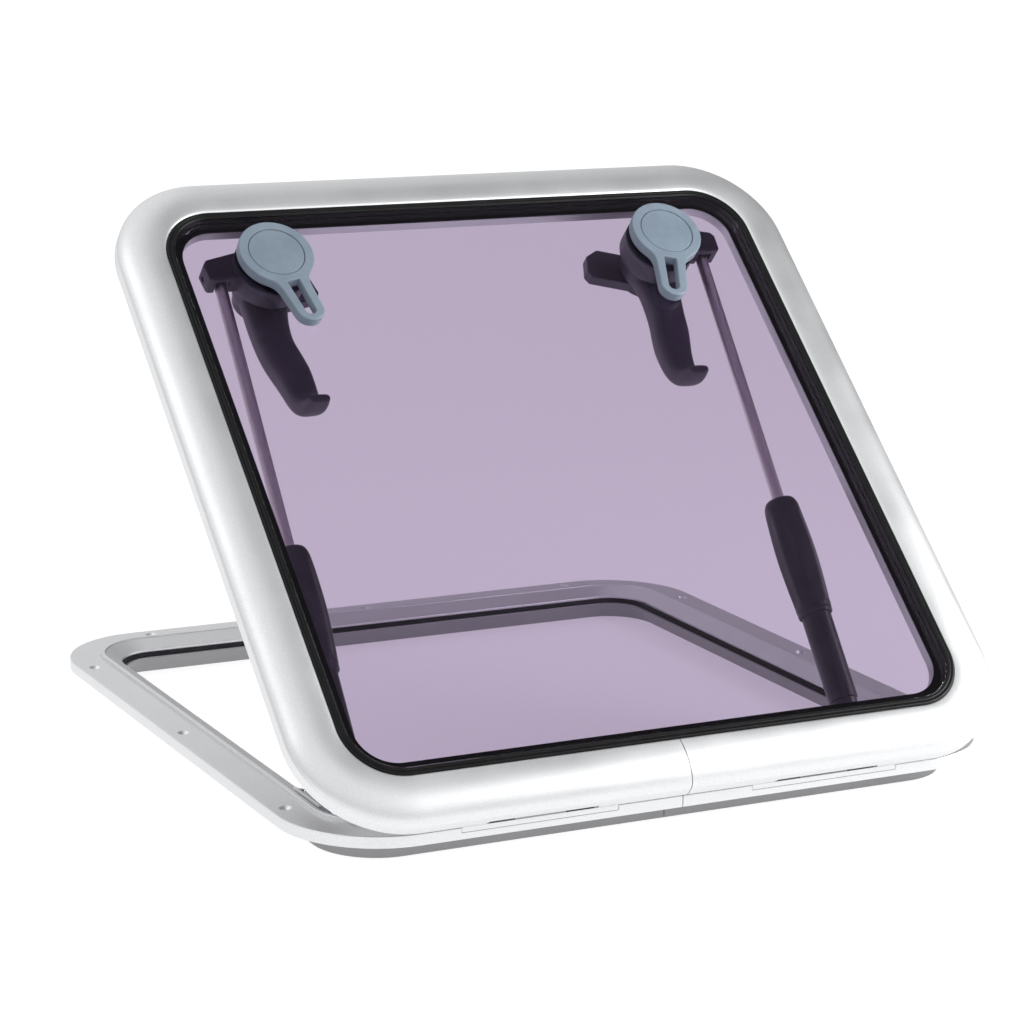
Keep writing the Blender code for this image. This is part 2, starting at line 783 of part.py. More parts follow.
def make_housing(side, sign, body):
    """The fixed housing under the pane: a round boss with a hollow wing for the stay's end.

    It is built for the left latch, whose wing points at -X, away from the hatch's middle.
    """
    boss_profile = [
        (0, HOUSING_TOP),
        (BOSS_RADIUS, HOUSING_TOP),
        (BOSS_RADIUS, HOUSING_BOTTOM + 5 * MM),
        (BOSS_RADIUS - 5 * MM, HOUSING_BOTTOM),
        (0, HOUSING_BOTTOM),
    ]
    housing = turned("latch_housing_" + side, boss_profile, 24)
    wing_outline = [
        (0, 17 * MM),
        (-20 * MM, 16 * MM),
        (3 * MM - WING_REACH, WING_BACK),
        (-WING_REACH, WING_BACK - 4 * MM),
        (1.5 * MM - WING_REACH, WING_FRONT),
        (-20 * MM, WING_FRONT),
        (0, WING_FRONT - 3 * MM),
    ]
    wing = plate("wing", wing_outline, WING_BOTTOM, HOUSING_TOP)
    soften(wing, 1.6 * MM, 1, 50)
    join(housing, wing)
    pivot_drop = UPPER_PIVOT.z - LIP_Z
    pivot_y = UPPER_PIVOT.y - LATCH_Y
    eye_x = -(STAY_X - LATCH_X)
    half = EYE_HALF + 0.9 * MM
    hollow = box(
        "hollow",
        (eye_x - half, -20 * MM, WING_BOTTOM - 2 * MM),
        (eye_x + half, 6 * MM, pivot_drop + EYE_RADIUS + 1.2 * MM),
    )
    pin_start = Vector((-70 * MM, pivot_y, pivot_drop))
    pin_end = Vector((eye_x + half + 5 * MM, pivot_y, pivot_drop))
    through = [(0, 0), (BORE_RADIUS, 0), (BORE_RADIUS, -40 * MM), (0, -40 * MM)]
    cut(
        housing,
        hollow,
        rod_between("pin_hole", STAY_PIN_RADIUS + GAP, pin_start, pin_end, 14),
        turned("bore", through, 16),
    )
    place_on_latch(housing, side, sign)
    return finish(housing, "black_nylon", body)


def handle_outline():
    """The handle from above: a round hub, and a grip whose inner edge has a finger hollow and a swell."""
    return (
        arc((0, 0), HUB_RADIUS, -36, 216, 18)
        + [(-19 * MM, -26 * MM), (-18.5 * MM, -44 * MM), (-16 * MM, -62 * MM), (-12 * MM, -82 * MM)]
        + [(-9 * MM, -104 * MM), (-7.5 * MM, -116 * MM), (-3 * MM, -121 * MM), (8 * MM, -121 * MM)]
        + [(12 * MM, -116 * MM), (13.5 * MM, -102 * MM), (15 * MM, -88 * MM), (14.6 * MM, -74 * MM)]
        + [(12.6 * MM, -60 * MM), (11 * MM, -46 * MM), (12 * MM, -32 * MM), (15.5 * MM, -20 * MM)]
    )


def handle_side():
    """The handle seen from its side, as (distance along -Y, height): the grip's end hooks up at the pane."""
    return [
        (-24 * MM, HANDLE_TOP),
        (16 * MM, HANDLE_TOP),
        (28 * MM, -34 * MM),
        (46 * MM, HANDLE_GRIP_TOP),
        (90 * MM, HANDLE_GRIP_TOP - 3 * MM),
        (103 * MM, HANDLE_GRIP_TOP - 1 * MM),
        (109 * MM, HANDLE_GRIP_TOP + 5 * MM),
        (113 * MM, HANDLE_GRIP_TOP + 14 * MM),
        (119 * MM, HANDLE_GRIP_TOP + 15 * MM),
        (122 * MM, HANDLE_GRIP_TOP + 10 * MM),
        (122 * MM, HANDLE_GRIP_TOP - 3 * MM),
        (118 * MM, HANDLE_GRIP_TOP - 16 * MM),
        (110 * MM, HANDLE_GRIP_BOTTOM),
        (84 * MM, HANDLE_GRIP_BOTTOM - 1 * MM),
        (44 * MM, HANDLE_GRIP_BOTTOM + 2 * MM),
        (26 * MM, HUB_BOTTOM),
        (-24 * MM, HUB_BOTTOM),
    ]


def make_handle(side, sign, body):
    """The inside handle: the part that its outline from above and its outline from the side share."""
    handle = plate("inside_handle_" + side, handle_outline(), -70 * MM, -15 * MM)
    profile = plate("profile", handle_side(), -40 * MM, 40 * MM)
    turn = Matrix(((0, 0, 1, 0), (-1, 0, 0, 0), (0, 1, 0, 0), (0, 0, 0, 1)))
    work = bmesh.new()
    work.from_mesh(profile.data)
    work.transform(turn)
    bmesh.ops.recalc_face_normals(work, faces=work.faces)
    work.to_mesh(profile.data)
    work.free()
    combine(handle, [profile], "INTERSECT")
    soften(handle, 2 * MM, 1, 50)
    socket = [(0, 0), (BORE_RADIUS, 0), (BORE_RADIUS, -80 * MM), (0, -80 * MM)]
    cut(handle, turned("socket", socket, 16))
    place_on_latch(handle, side, sign, LEVER_ANGLE[side] - HANDLE_LAG[side])
    return finish(handle, "black_nylon", body)


def tongue_outline():
    """The latch tongue from above, pointing at +X: a hub ring and a block with cut corners."""
    half = 15 * MM
    return (
        arc((0, 0), TONGUE_HUB_RADIUS, 50, 310, 16)
        + [(20 * MM, -half), (TONGUE_REACH - 4 * MM, -half), (TONGUE_REACH, -half + 5 * MM)]
        + [(TONGUE_REACH, half - 9 * MM), (TONGUE_REACH - 9 * MM, half), (20 * MM, half)]
    )


def make_tongue(side, sign, body):
    tongue = plate("latch_tongue_" + side, tongue_outline(), TONGUE_BOTTOM, TONGUE_TOP)
    soften(tongue, 1.2 * MM, 1, 50)
    through = [(0, 0), (BORE_RADIUS, 0), (BORE_RADIUS, -80 * MM), (0, -80 * MM)]
    cut(tongue, turned("bore", through, 16))
    place_on_latch(tongue, side, sign, LEVER_ANGLE[side] + TONGUE_LEAD)
    return finish(tongue, "black_nylon", body)


def make_handle_screw(side, sign, body):
    """The screw under the tongue that holds tongue and handle on the spindle."""
    top = TONGUE_BOTTOM - GAP
    head = 9 * MM
    low = top - 3.6 * MM
    profile = [(0, top), (head, top), (head, top - 2 * MM), (head - 1.5 * MM, low), (0, low)]
    screw = turned("handle_screw_" + side, profile, 20)
    key = rod_between("key", 2.4 * MM, Vector((0, 0, top - 6 * MM)), Vector((0, 0, top - 2 * MM)), 6)
    cut(screw, key)
    place_on_latch(screw, side, sign, LEVER_ANGLE[side])
    return finish(screw, "stainless_steel", body)


# ---- Stays ---------------------------------------------------------------------------------------------
# Each stay is built along +Z from its lower pivot, and then laid along the line between its pivots.


def stay_line():
    """Length and placement of a stay at rest, in the YZ plane."""
    upper = LID_TURN @ UPPER_PIVOT
    along = upper - LOWER_PIVOT
    turn = Matrix.Rotation(math.atan2(-along.y, along.z), 4, "X")
    return along.length, turn


STAY_LENGTH, STAY_TURN = stay_line()


def place_on_stay(made, sign):
    made.data.transform(Matrix.Translation((sign * STAY_X, LOWER_PIVOT.y, LOWER_PIVOT.z)) @ STAY_TURN)
    return made


def eye(name, radius, half, height):
    """A flat round eye across X, centred at the given height."""
    start = Vector((-half, 0, height))
    end = Vector((half, 0, height))
    return rod_between(name, radius, start, end, 18)


def make_rod(side, sign, body):
    """The sliding rod, with an eye at its upper end."""
    low = ROD_LOW + 1.2 * MM
    rod = rod_between("stay_rod_" + side, ROD_RADIUS, Vector((0, 0, low)), Vector((0, 0, STAY_LENGTH)), 16)
    join(rod, eye("eye", EYE_RADIUS, EYE_HALF - 0.4 * MM, STAY_LENGTH))
    pin_start = Vector((-20 * MM, 0, STAY_LENGTH))
    pin_end = Vector((20 * MM, 0, STAY_LENGTH))
    cut(rod, rod_between("bore", STAY_PIN_RADIUS + GAP, pin_start, pin_end, 14))
    return finish(place_on_stay(rod, sign), "stainless_steel", body)


def make_rod_stop(side, sign, body):
    """The piston on the rod's inner end, which stops it leaving the tube."""
    radius = TUBE_RADIUS - TUBE_WALL - 0.6 * MM
    profile = round_bevelled(radius, ROD_LOW - 9 * MM, ROD_LOW + 0.8 * MM, MM)
    stop = turned("stay_piston_" + side, profile, 20)
    return finish(place_on_stay(stop, sign), "black_nylon", body)


def make_upper_pin(side, sign, body):
    """The pin through the housing's wing and the rod's eye, built with the hatch closed."""
    reach_out = 11.5 * MM
    reach_in = 8.6 * MM
    centre = Vector((sign * STAY_X, UPPER_PIVOT.y, UPPER_PIVOT.z))
    start = centre + Vector((sign * reach_out, 0, 0))
    end = centre - Vector((sign * reach_in, 0, 0))
    pin = rod_between("stay_upper_pin_" + side, STAY_PIN_RADIUS, start, end, 14)
    return finish(pin, "stainless_steel", body)


def make_tube(side, sign, body):
    """The outer tube, open at its upper end."""
    inner = TUBE_RADIUS - TUBE_WALL
    profile = [
        (inner, TUBE_HIGH),
        (inner + 0.2 * MM, TUBE_HIGH),
        (TUBE_RADIUS, TUBE_HIGH - 0.8 * MM),
        (TUBE_RADIUS, TUBE_LOW),
        (0, TUBE_LOW),
        (0, TUBE_LOW + TUBE_FLOOR),
        (inner, TUBE_LOW + TUBE_FLOOR),
    ]
    tube = turned("stay_tube_" + side, profile, 24)
    return finish(place_on_stay(tube, sign), "black_nylon", body)


def make_foot(side, sign, body):
    """The fitting on the tube's lower end: a round shoulder and a flat eye."""
    top = TUBE_LOW - GAP
    shoulder = TUBE_RADIUS - 1.4 * MM
    neck = 6 * MM
    low = top - 9 * MM
    profile = [(0, top), (shoulder, top), (shoulder, top - 5 * MM), (neck, low), (0, low)]
    foot = turned("stay_foot_" + side, profile, 24)
    shank_x = FOOT_HALF - 0.4 * MM
    shank_y = FOOT_RADIUS - 2 * MM
    shank = box("shank", (-shank_x, -shank_y, MM), (shank_x, shank_y, top - 6 * MM))
    join(foot, shank, eye("eye", FOOT_RADIUS, FOOT_HALF, 0))
    bore = rod_between("bore", FOOT_PIN_RADIUS + GAP, Vector((-30 * MM, 0, 0)), Vector((30 * MM, 0, 0)), 12)
    cut(foot, bore)
    return finish(place_on_stay(foot, sign), "black_nylon", body)


def make_foot_pin(side, sign, body):
    """The pivot pin in the foot. It stops short of the bracket, so this is where the linkage is open."""
    half = FOOT_HALF + 0.6 * MM
    head = half + 1.6 * MM
    head_radius = FOOT_PIN_RADIUS + 1.6 * MM
    profile = [(0, head), (head_radius, head), (head_radius, half)]
    profile += [(FOOT_PIN_RADIUS, half), (FOOT_PIN_RADIUS, -half), (0, -half)]
    pin = turned("stay_foot_pin_" + side, profile, 16, Vector(), Vector((-sign, 0, 0)))
    return finish(place_on_stay(pin, sign), "stainless_steel", body)


def make_grip(side, sign, body):
    """The twist grip: a barrel that clamps the rod through the collet inside it."""
    bore_low = TUBE_RADIUS + GAP
    bore_high = ROD_RADIUS + 0.5 * MM
    step = TUBE_HIGH + COLLET_HEIGHT + 0.8 * MM
    span = GRIP_HIGH - GRIP_LOW
    outer = []
    stations = ((1.0, 8.2), (0.98, 11.6), (0.93, 13.9), (0.72, 15.3), (0.52, 15.8))
    stations += ((0.3, 15.1), (0.05, 13.7), (0.0, 12.9))
    for share, radius in stations:
        outer.append((radius * MM, GRIP_LOW + share * span))
    inner = [(bore_low, GRIP_LOW), (bore_low, step), (bore_high, step), (bore_high, GRIP_HIGH)]
    grip = turned("stay_grip_" + side, outer + inner, 18)
    return finish(place_on_stay(grip, sign), "black_nylon", body)


def make_collet(side, sign, body):
    """The split collet on top of the tube, squeezed on the rod by the grip."""
    low = TUBE_HIGH + GAP
    top = low + COLLET_HEIGHT
    bore = ROD_RADIUS + 0.35 * MM
    wide = 10.4 * MM
    narrow = 8.2 * MM
    profile = [(bore, top), (narrow, top), (wide, low + 2 * MM), (wide, low), (bore, low)]
    collet = turned("stay_collet_" + side, profile, 20)
    slit = box("slit", (-0.5 * MM, 0, low - MM), (0.5 * MM, 20 * MM, low + 10 * MM))
    cut(collet, slit)
    return finish(place_on_stay(collet, sign), "black_nylon", body)


def make_bracket(side, sign, frame):
    """The lower bracket: an angle whose plate lies on the rail's slope and whose cheek is beside the foot."""
    slope_low = (SLOPE_FOOT.x, SLOPE_FOOT.y)
    ridge_foot = (RIDGE_HALF - 2.6 * MM, RIDGE_TOP - MM)
    rise = (ridge_foot[1] - slope_low[1]) / (ridge_foot[0] - slope_low[0])
    reach = 10.4 * MM
    slope_high = (slope_low[0] + reach, slope_low[1] + rise * reach)
    lift = 0.35 * MM
    thick = BRACKET_THICKNESS
    section = [
        (slope_high[0], slope_high[1] + lift),
        (slope_high[0], slope_high[1] + lift + thick),
        (slope_low[0], slope_low[1] + lift + thick),
        (BRACKET_CHEEK_IN + 2 * MM, 4.6 * MM),
        (BRACKET_CHEEK_IN, 2.6 * MM),
        (BRACKET_CHEEK_IN, -10 * MM),
        (BRACKET_CHEEK_IN + 3 * MM, -10 * MM),
        (BRACKET_CHEEK_IN + 3 * MM, 1.4 * MM),
        (231 * MM, 1.5 * MM),
        (234.4 * MM, 4.4 * MM),
        (slope_low[0], slope_low[1] + lift),
    ]
    arm = plate("stay_bracket_" + side, section, -BRACKET_FRONT, BRACKET_BACK)
    arm.data.transform(Matrix(((1, 0, 0, 0), (0, 0, 1, 0), (0, 1, 0, 0), (0, 0, 0, 1))))
    arm.data.flip_normals()
    hole_start = Vector((210 * MM, 0, LOWER_PIVOT.z))
    hole_end = Vector((225 * MM, 0, LOWER_PIVOT.z))
    cut(arm, rod_between("bore", FOOT_PIN_RADIUS + GAP, hole_start, hole_end, 12))
    if sign < 0:
        mirror_x(arm)
    arm.data.transform(Matrix.Translation((0, LOWER_PIVOT.y, 0)))
    slope_angle = math.atan(rise)
    normal = Vector((-sign * math.sin(slope_angle), 0, math.cos(slope_angle)))
    for number, along in enumerate(BRACKET_SCREWS, 1):
        x = (slope_low[0] + slope_high[0]) / 2
        z = slope_low[1] + lift + thick + rise * (x - slope_low[0])
        spot = Vector((sign * x, LOWER_PIVOT.y + along, z))
        head = [(0, 1.2 * MM), (1.8 * MM, 1.2 * MM), (2.6 * MM, 0.3 * MM), (1.2 * MM, 0.3 * MM)]
        head += [(1.2 * MM, -5 * MM), (0, -5 * MM)]
        hole_start = spot + 3 * MM * normal
        hole_end = spot - 5.4 * MM * normal
        cut(arm, rod_between("clearance", 1.5 * MM, hole_start, hole_end, 10))
        cut(frame, rod_between("clearance", 1.5 * MM, hole_start, hole_end, 10))
        screw = turned(f"stay_bracket_screw_{side}_{number}", head, 10, spot, normal)
        finish(screw, "stainless_steel", None)
    return finish(arm, "base_aluminium", None)


# ---- Assembly ------------------------------------------------------------------------------------------


def build():
    base_frame = make_base_frame()
    make_base_seal()
    lid_marker = empty("lid_hinge_axis", LID_TURN @ Matrix.Translation(HINGE_POINT))
    lid = (lid_marker, Matrix.Translation(HINGE_POINT))
    lid_frame = make_lid_frame()
    make_glazing(lid)
    for side, sign in SIDES:
        make_base_leaf(side, sign, base_frame)
        make_lid_leaf(side, sign, lid_frame, lid)
        make_hinge_pin(side, sign, lid)
        make_spindle_bush(side, sign, lid)
        make_housing(side, sign, lid)
        make_upper_pin(side, sign, lid)
        spindle_place = Matrix.Translation((sign * LATCH_X, LATCH_Y, LIP_Z))
        latch = (empty(f"latch_{side}_axis", LID_TURN @ spindle_place, lid_marker), spindle_place)
        make_outside_lever(side, sign, latch)
        make_cap_disc(side, sign, latch)
        make_spindle(side, sign, latch)
        make_handle(side, sign, latch)
        make_tongue(side, sign, latch)
        make_handle_screw(side, sign, latch)
        foot_place = Matrix.Translation((sign * STAY_X, LOWER_PIVOT.y, LOWER_PIVOT.z)) @ STAY_TURN
        eye_place = foot_place @ Matrix.Translation((0, 0, STAY_LENGTH))
        rod_marker = empty(f"rod_{side}_pivot", eye_place, lid_marker)
        rod = (rod_marker, eye_place)
        tube_marker = empty(f"tube_{side}_slide", foot_place, rod_marker)
        tube = (tube_marker, foot_place)
        grip = (empty(f"grip_{side}_axis", foot_place, tube_marker), foot_place)
        make_rod(side, sign, rod)
        make_rod_stop(side, sign, rod)
        make_tube(side, sign, tube)
        make_foot(side, sign, tube)
        make_foot_pin(side, sign, tube)
        make_collet(side, sign, tube)
        make_grip(side, sign, grip)
        make_bracket(side, sign, base_frame)
    finish(base_frame, "base_aluminium", None)
    finish(lid_frame, "anodised_aluminium", lid)
    for thing in PARTS.objects:
        if thing.parent is None:
            thing.location.z -= SPIGOT_BOTTOM


build()
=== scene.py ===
"""The looks of the deck hatch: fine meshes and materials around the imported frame."""

import json
import math

import bmesh
import bpy
from mathutils import Matrix, Vector


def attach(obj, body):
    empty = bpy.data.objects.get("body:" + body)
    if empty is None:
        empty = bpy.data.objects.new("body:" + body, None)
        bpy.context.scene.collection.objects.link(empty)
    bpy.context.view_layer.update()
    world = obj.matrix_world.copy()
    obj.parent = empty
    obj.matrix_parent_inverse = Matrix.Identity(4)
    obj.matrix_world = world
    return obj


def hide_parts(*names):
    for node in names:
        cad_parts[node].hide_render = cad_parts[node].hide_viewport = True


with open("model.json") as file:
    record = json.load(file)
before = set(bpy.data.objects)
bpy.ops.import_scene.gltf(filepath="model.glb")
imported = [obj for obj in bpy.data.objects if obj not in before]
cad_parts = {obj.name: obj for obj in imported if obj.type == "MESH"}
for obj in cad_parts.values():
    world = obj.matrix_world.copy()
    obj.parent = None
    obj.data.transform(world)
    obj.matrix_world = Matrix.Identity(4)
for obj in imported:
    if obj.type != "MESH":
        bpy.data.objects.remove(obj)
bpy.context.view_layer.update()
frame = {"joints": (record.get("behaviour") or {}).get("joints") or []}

MM = 0.001
SIDES = (("left", -1), ("right", 1))
JOINTS = {joint["name"]: joint for joint in frame["joints"]}

# ---- Camera ----------------------------------------------------------------------------------------------

CAMERA_PLACE = Vector((-1.0854, -2.1102, 0.7179))
CAMERA_AZIMUTH = math.radians(-27.267)
CAMERA_ELEVATION = math.radians(13.036)
CAMERA_ROLL = math.radians(1.068)
CAMERA_LENS = 111.27


def make_camera():
    data = bpy.data.cameras.new("camera")
    data.lens = CAMERA_LENS
    data.sensor_width = 36
    data.clip_start = 0.05
    data.clip_end = 200
    camera = bpy.data.objects.new("camera", data)
    bpy.context.scene.collection.objects.link(camera)
    level = math.cos(CAMERA_ELEVATION)
    back = Vector(
        (math.sin(CAMERA_AZIMUTH) * level, -math.cos(CAMERA_AZIMUTH) * level, math.sin(CAMERA_ELEVATION))
    )
    right = Vector((0, 0, 1)).cross(back).normalized()
    up = back.cross(right)
    turned_right = right * math.cos(CAMERA_ROLL) + up * math.sin(CAMERA_ROLL)
    turned_up = up * math.cos(CAMERA_ROLL) - right * math.sin(CAMERA_ROLL)
    turn = Matrix((turned_right, turned_up, back)).transposed().to_4x4()
    camera.matrix_world = Matrix.Translation(CAMERA_PLACE) @ turn
    bpy.context.scene.camera = camera


make_camera()

# ---- Where things are ------------------------------------------------------------------------------------
# Shapes are in millimetres. Lid pieces are made with the hatch closed and the deck's surface at zero height,
# and LID puts them in place.

HINGE = Vector(JOINTS["lid_hinge"]["pos_m"])
OPEN_ANGLE = -math.radians(JOINTS["lid_hinge"]["range_deg"][0])
HINGE_ABOVE_DECK = 15.4
DECK = Matrix.Translation((0, 0, HINGE.z - HINGE_ABOVE_DECK * MM))
SWING = Matrix.Rotation(OPEN_ANGLE, 4, "X")
LID = Matrix.Translation(HINGE) @ SWING @ Matrix.Translation(-HINGE) @ DECK
LIP = 30.8  # height of the glass's rim over the deck
CORNER_CENTRE = 207.0  # of the frame's rounded corners, both ways from the middle
HINGE_X = 115.0
HINGE_Y = -279.5
LATCH_X = 168.0
LATCH_Y = 201.0
STAY_X = 208.0
STAY_FOOT_Y = -172.5
UPPER_PIN_Y = -0.5  # from the spindle
UPPER_PIN_DROP = 22.0  # below the rim
UPPER_PIN_BORE = 2.3
FOOT_PIN_BORE = 3.3
SPINDLE_BORE = 6.3


def latch_place(sign, turn):
    """The frame of a latch piece: Z along the spindle, -Y along the lever, +X inwards on the left."""
    middle = Vector((sign * LATCH_X, LATCH_Y, LIP)) * MM
    return LID @ Matrix.Translation(middle) @ Matrix.Rotation(-sign * turn, 4, "Z")


def stay_place(side):
    """The frame of a stay piece: the origin on the foot pin and Z along the stay."""
    low = Vector(JOINTS[f"grip_{side}_twist"]["pos_m"])
    along = Vector(JOINTS[f"grip_{side}_twist"]["axis"])
    return Matrix.Translation(low) @ Matrix.Rotation(math.atan2(-along.y, along.z), 4, "X")


STAY_LENGTH = (
    Vector(JOINTS["stay_left_pivot"]["pos_m"]) - Vector(JOINTS["grip_left_twist"]["pos_m"])
).length / MM

# ---- Materials -------------------------------------------------------------------------------------------


def srgb(red, green, blue):
    """A colour given as 0 to 255 in sRGB, made linear."""
    made = []
    for value in (red, green, blue):
        share = value / 255
        made.append(share / 12.92 if share <= 0.04045 else ((share + 0.055) / 1.055) ** 2.4)
    return (*made, 1)


class Nodes:
    """A short way to write a material's node tree."""

    def __init__(self, name):
        self.material = bpy.data.materials.new(name)
        self.material.use_nodes = True
        self.tree = self.material.node_tree
        self.shader = self.tree.nodes["Principled BSDF"]
        self.place = self.add("ShaderNodeTexCoord").outputs["Object"]

    def add(self, kind, **settings):
        node = self.tree.nodes.new(kind)
        for key, value in settings.items():
            setattr(node, key, value)
        return node

    def link(self, source, target):
        self.tree.links.new(source, target)

    def stretched(self, scale):
        mapping = self.add("ShaderNodeMapping")
        mapping.inputs["Scale"].default_value = scale
        self.link(self.place, mapping.inputs["Vector"])
        return mapping.outputs["Vector"]

    def noise(self, scale, detail=3.0, rough=0.55, stretch=None):
        node = self.add("ShaderNodeTexNoise")
        node.inputs["Scale"].default_value = scale
        node.inputs["Detail"].default_value = detail
        node.inputs["Roughness"].default_value = rough
        self.link(self.stretched(stretch) if stretch else self.place, node.inputs["Vector"])
        return node.outputs["Fac"]

    def cells(self, scale):
        node = self.add("ShaderNodeTexVoronoi", feature="F1")
        node.inputs["Scale"].default_value = scale
        self.link(self.place, node.inputs["Vector"])
        return node.outputs["Distance"]

    def spread(self, source, low, high, start=0.3, end=0.7):
        """A texture's value brought to the range from low to high."""
        node = self.add("ShaderNodeMapRange")
        for name, value in (("From Min", start), ("From Max", end), ("To Min", low), ("To Max", high)):
            node.inputs[name].default_value = value
        self.link(source, node.inputs["Value"])
        return node.outputs["Result"]

    def blend(self, source, low, high):
        """A colour between low and high."""
        node = self.add("ShaderNodeMix", data_type="RGBA")
        self.link(source, node.inputs[0])
        node.inputs[6].default_value = low
        node.inputs[7].default_value = high
        return node.outputs[2]

    def bump(self, *layers):
        """Bumps laid on each other, each a (height, strength, depth in metres)."""
        normal = None
        for height, strength, depth in layers:
            node = self.add("ShaderNodeBump")
            node.inputs["Strength"].default_value = strength
            node.inputs["Distance"].default_value = depth
            self.link(height, node.inputs["Height"])
            if normal:
                self.link(normal, node.inputs["Normal"])
            normal = node.outputs["Normal"]
        self.link(normal, self.shader.inputs["Normal"])

    def set(self, **values):
        """Sets the shader's own sockets, by names such as base_color."""
        for key, value in values.items():
            self.shader.inputs[key.replace("_", " ").title().replace("Ior", "IOR")].default_value = value


EDGE_BLUR = 0.0001


def anodised(name, dark, light, roughness, grain, painted_shade=None, edge=0.0):
    """Satin anodised aluminium with a fine sparkle.

    Given a painted shade colour, it is painted with that shade above the height edge, in metres over the
    deck, or below it if the edge is under the deck.
    """
    nodes = Nodes(name)
    fine = nodes.noise(grain, 4.0, 0.7)
    broad = nodes.noise(14, 2.0)
    colour = nodes.blend(nodes.spread(fine, 0, 1, 0.35, 0.68), dark, light)
    # Painted shade: past the height edge the colour is mixed to a flat dark colour in place of shade.
    if painted_shade:
        parts = nodes.add("ShaderNodeSeparateXYZ")
        nodes.link(nodes.place, parts.inputs["Vector"])
        low, high = (0, 1) if edge > 0 else (1, 0)
        share = nodes.spread(parts.outputs["Z"], low, high, edge - EDGE_BLUR, edge + EDGE_BLUR)
        shaded = nodes.add("ShaderNodeMix", data_type="RGBA")
        nodes.link(share, shaded.inputs[0])
        nodes.link(colour, shaded.inputs[6])
        shaded.inputs[7].default_value = painted_shade
        colour = shaded.outputs[2]
    nodes.link(colour, nodes.shader.inputs["Base Color"])
    nodes.link(nodes.spread(broad, *roughness), nodes.shader.inputs["Roughness"])
    nodes.bump((fine, 0.16, 0.00006), (nodes.cells(grain * 0.6), 0.08, 0.00005))
    nodes.set(metallic=1.0)
    return nodes.material


def rubber(name, dark, light, roughness):
    """Matt black rubber with a little dust."""
    nodes = Nodes(name)
    fine = nodes.noise(1400, 3.0)
    dust = nodes.noise(60, 4.0, 0.65)
    colour = nodes.blend(nodes.spread(dust, 0, 1, 0.45, 0.75), dark, light)
    nodes.link(colour, nodes.shader.inputs["Base Color"])
    nodes.link(nodes.spread(dust, roughness - 0.06, roughness + 0.1), nodes.shader.inputs["Roughness"])
    nodes.bump((fine, 0.25, 0.00005))
    nodes.set(specular_ior_level=0.22)
    return nodes.material


def nylon(name, dark, light, roughness, grain=900):
    """Moulded glass-filled nylon: a fine pebbled skin, a little worn where it is handled."""
    nodes = Nodes(name)
    wear = nodes.noise(35, 4.0, 0.6)
    pebbles = nodes.cells(grain)
    colour = nodes.blend(nodes.spread(wear, 0, 1, 0.4, 0.7), dark, light)
    nodes.link(colour, nodes.shader.inputs["Base Color"])
    nodes.link(nodes.spread(wear, roughness + 0.06, roughness - 0.06), nodes.shader.inputs["Roughness"])
    nodes.bump((pebbles, 0.14, 0.00012), (nodes.noise(grain * 2.5), 0.12, 0.00005))
    return nodes.material


def steel(name, dark, light, roughness, stretch):
    """Stainless steel with its grain along one way."""
    nodes = Nodes(name)
    grain = nodes.noise(900, 3.0, 0.6, stretch)
    nodes.link(nodes.blend(grain, dark, light), nodes.shader.inputs["Base Color"])
    nodes.link(nodes.spread(grain, roughness - 0.05, roughness + 0.07), nodes.shader.inputs["Roughness"])
    nodes.bump((grain, 0.12, 0.00004))
    nodes.set(metallic=1.0)
    return nodes.material


def acrylic(name, tint):
    """Clear tinted acrylic with the faintest haze and polish marks."""
    nodes = Nodes(name)
    nodes.link(nodes.spread(nodes.noise(9, 3.0), 0.0, 0.012), nodes.shader.inputs["Roughness"])
    nodes.bump((nodes.noise(5, 1.0), 0.04, 0.0004))
    nodes.set(base_color=tint, transmission_weight=1.0, ior=1.49)
    return nodes.material


SATIN_SHADE = (0.72, 0.73, 0.74, 1)
LID_SATIN = (0.87, 0.88, 0.89, 1)
BASE_SATIN = (0.86, 0.87, 0.88, 1)
# Painted shade: the spigot and the flange's underside, below the deck, are painted dark in place of their
# shadow.
SPIGOT_PAINTED_SHADE = (0.30, 0.30, 0.31, 1)
PAINTED_SHADE_BELOW = -0.0004
# Painted shade: the base leaf's knuckles, above this height over the deck, are painted near black in place
# of the shade in the rail's notch.
KNUCKLE_PAINTED_SHADE = (0.07, 0.07, 0.075, 1)
PAINTED_SHADE_ABOVE = 0.0087
# Painted shade: the whole lid leaf is painted near black, as its barrel shows only in the shade of the
# notch.
LID_LEAF_PAINTED_SHADE = (0.10, 0.10, 0.105, 1)
LID_LEAF_PAINTED_SHADE_PALER = (0.14, 0.14, 0.145, 1)
LID_ROUGHNESS = (0.42, 0.5)
BASE_ROUGHNESS = (0.44, 0.52)
LID_GRAIN = 1500
BASE_GRAIN = 1300
BASE_FINISH = (SATIN_SHADE, BASE_SATIN, BASE_ROUGHNESS, BASE_GRAIN)

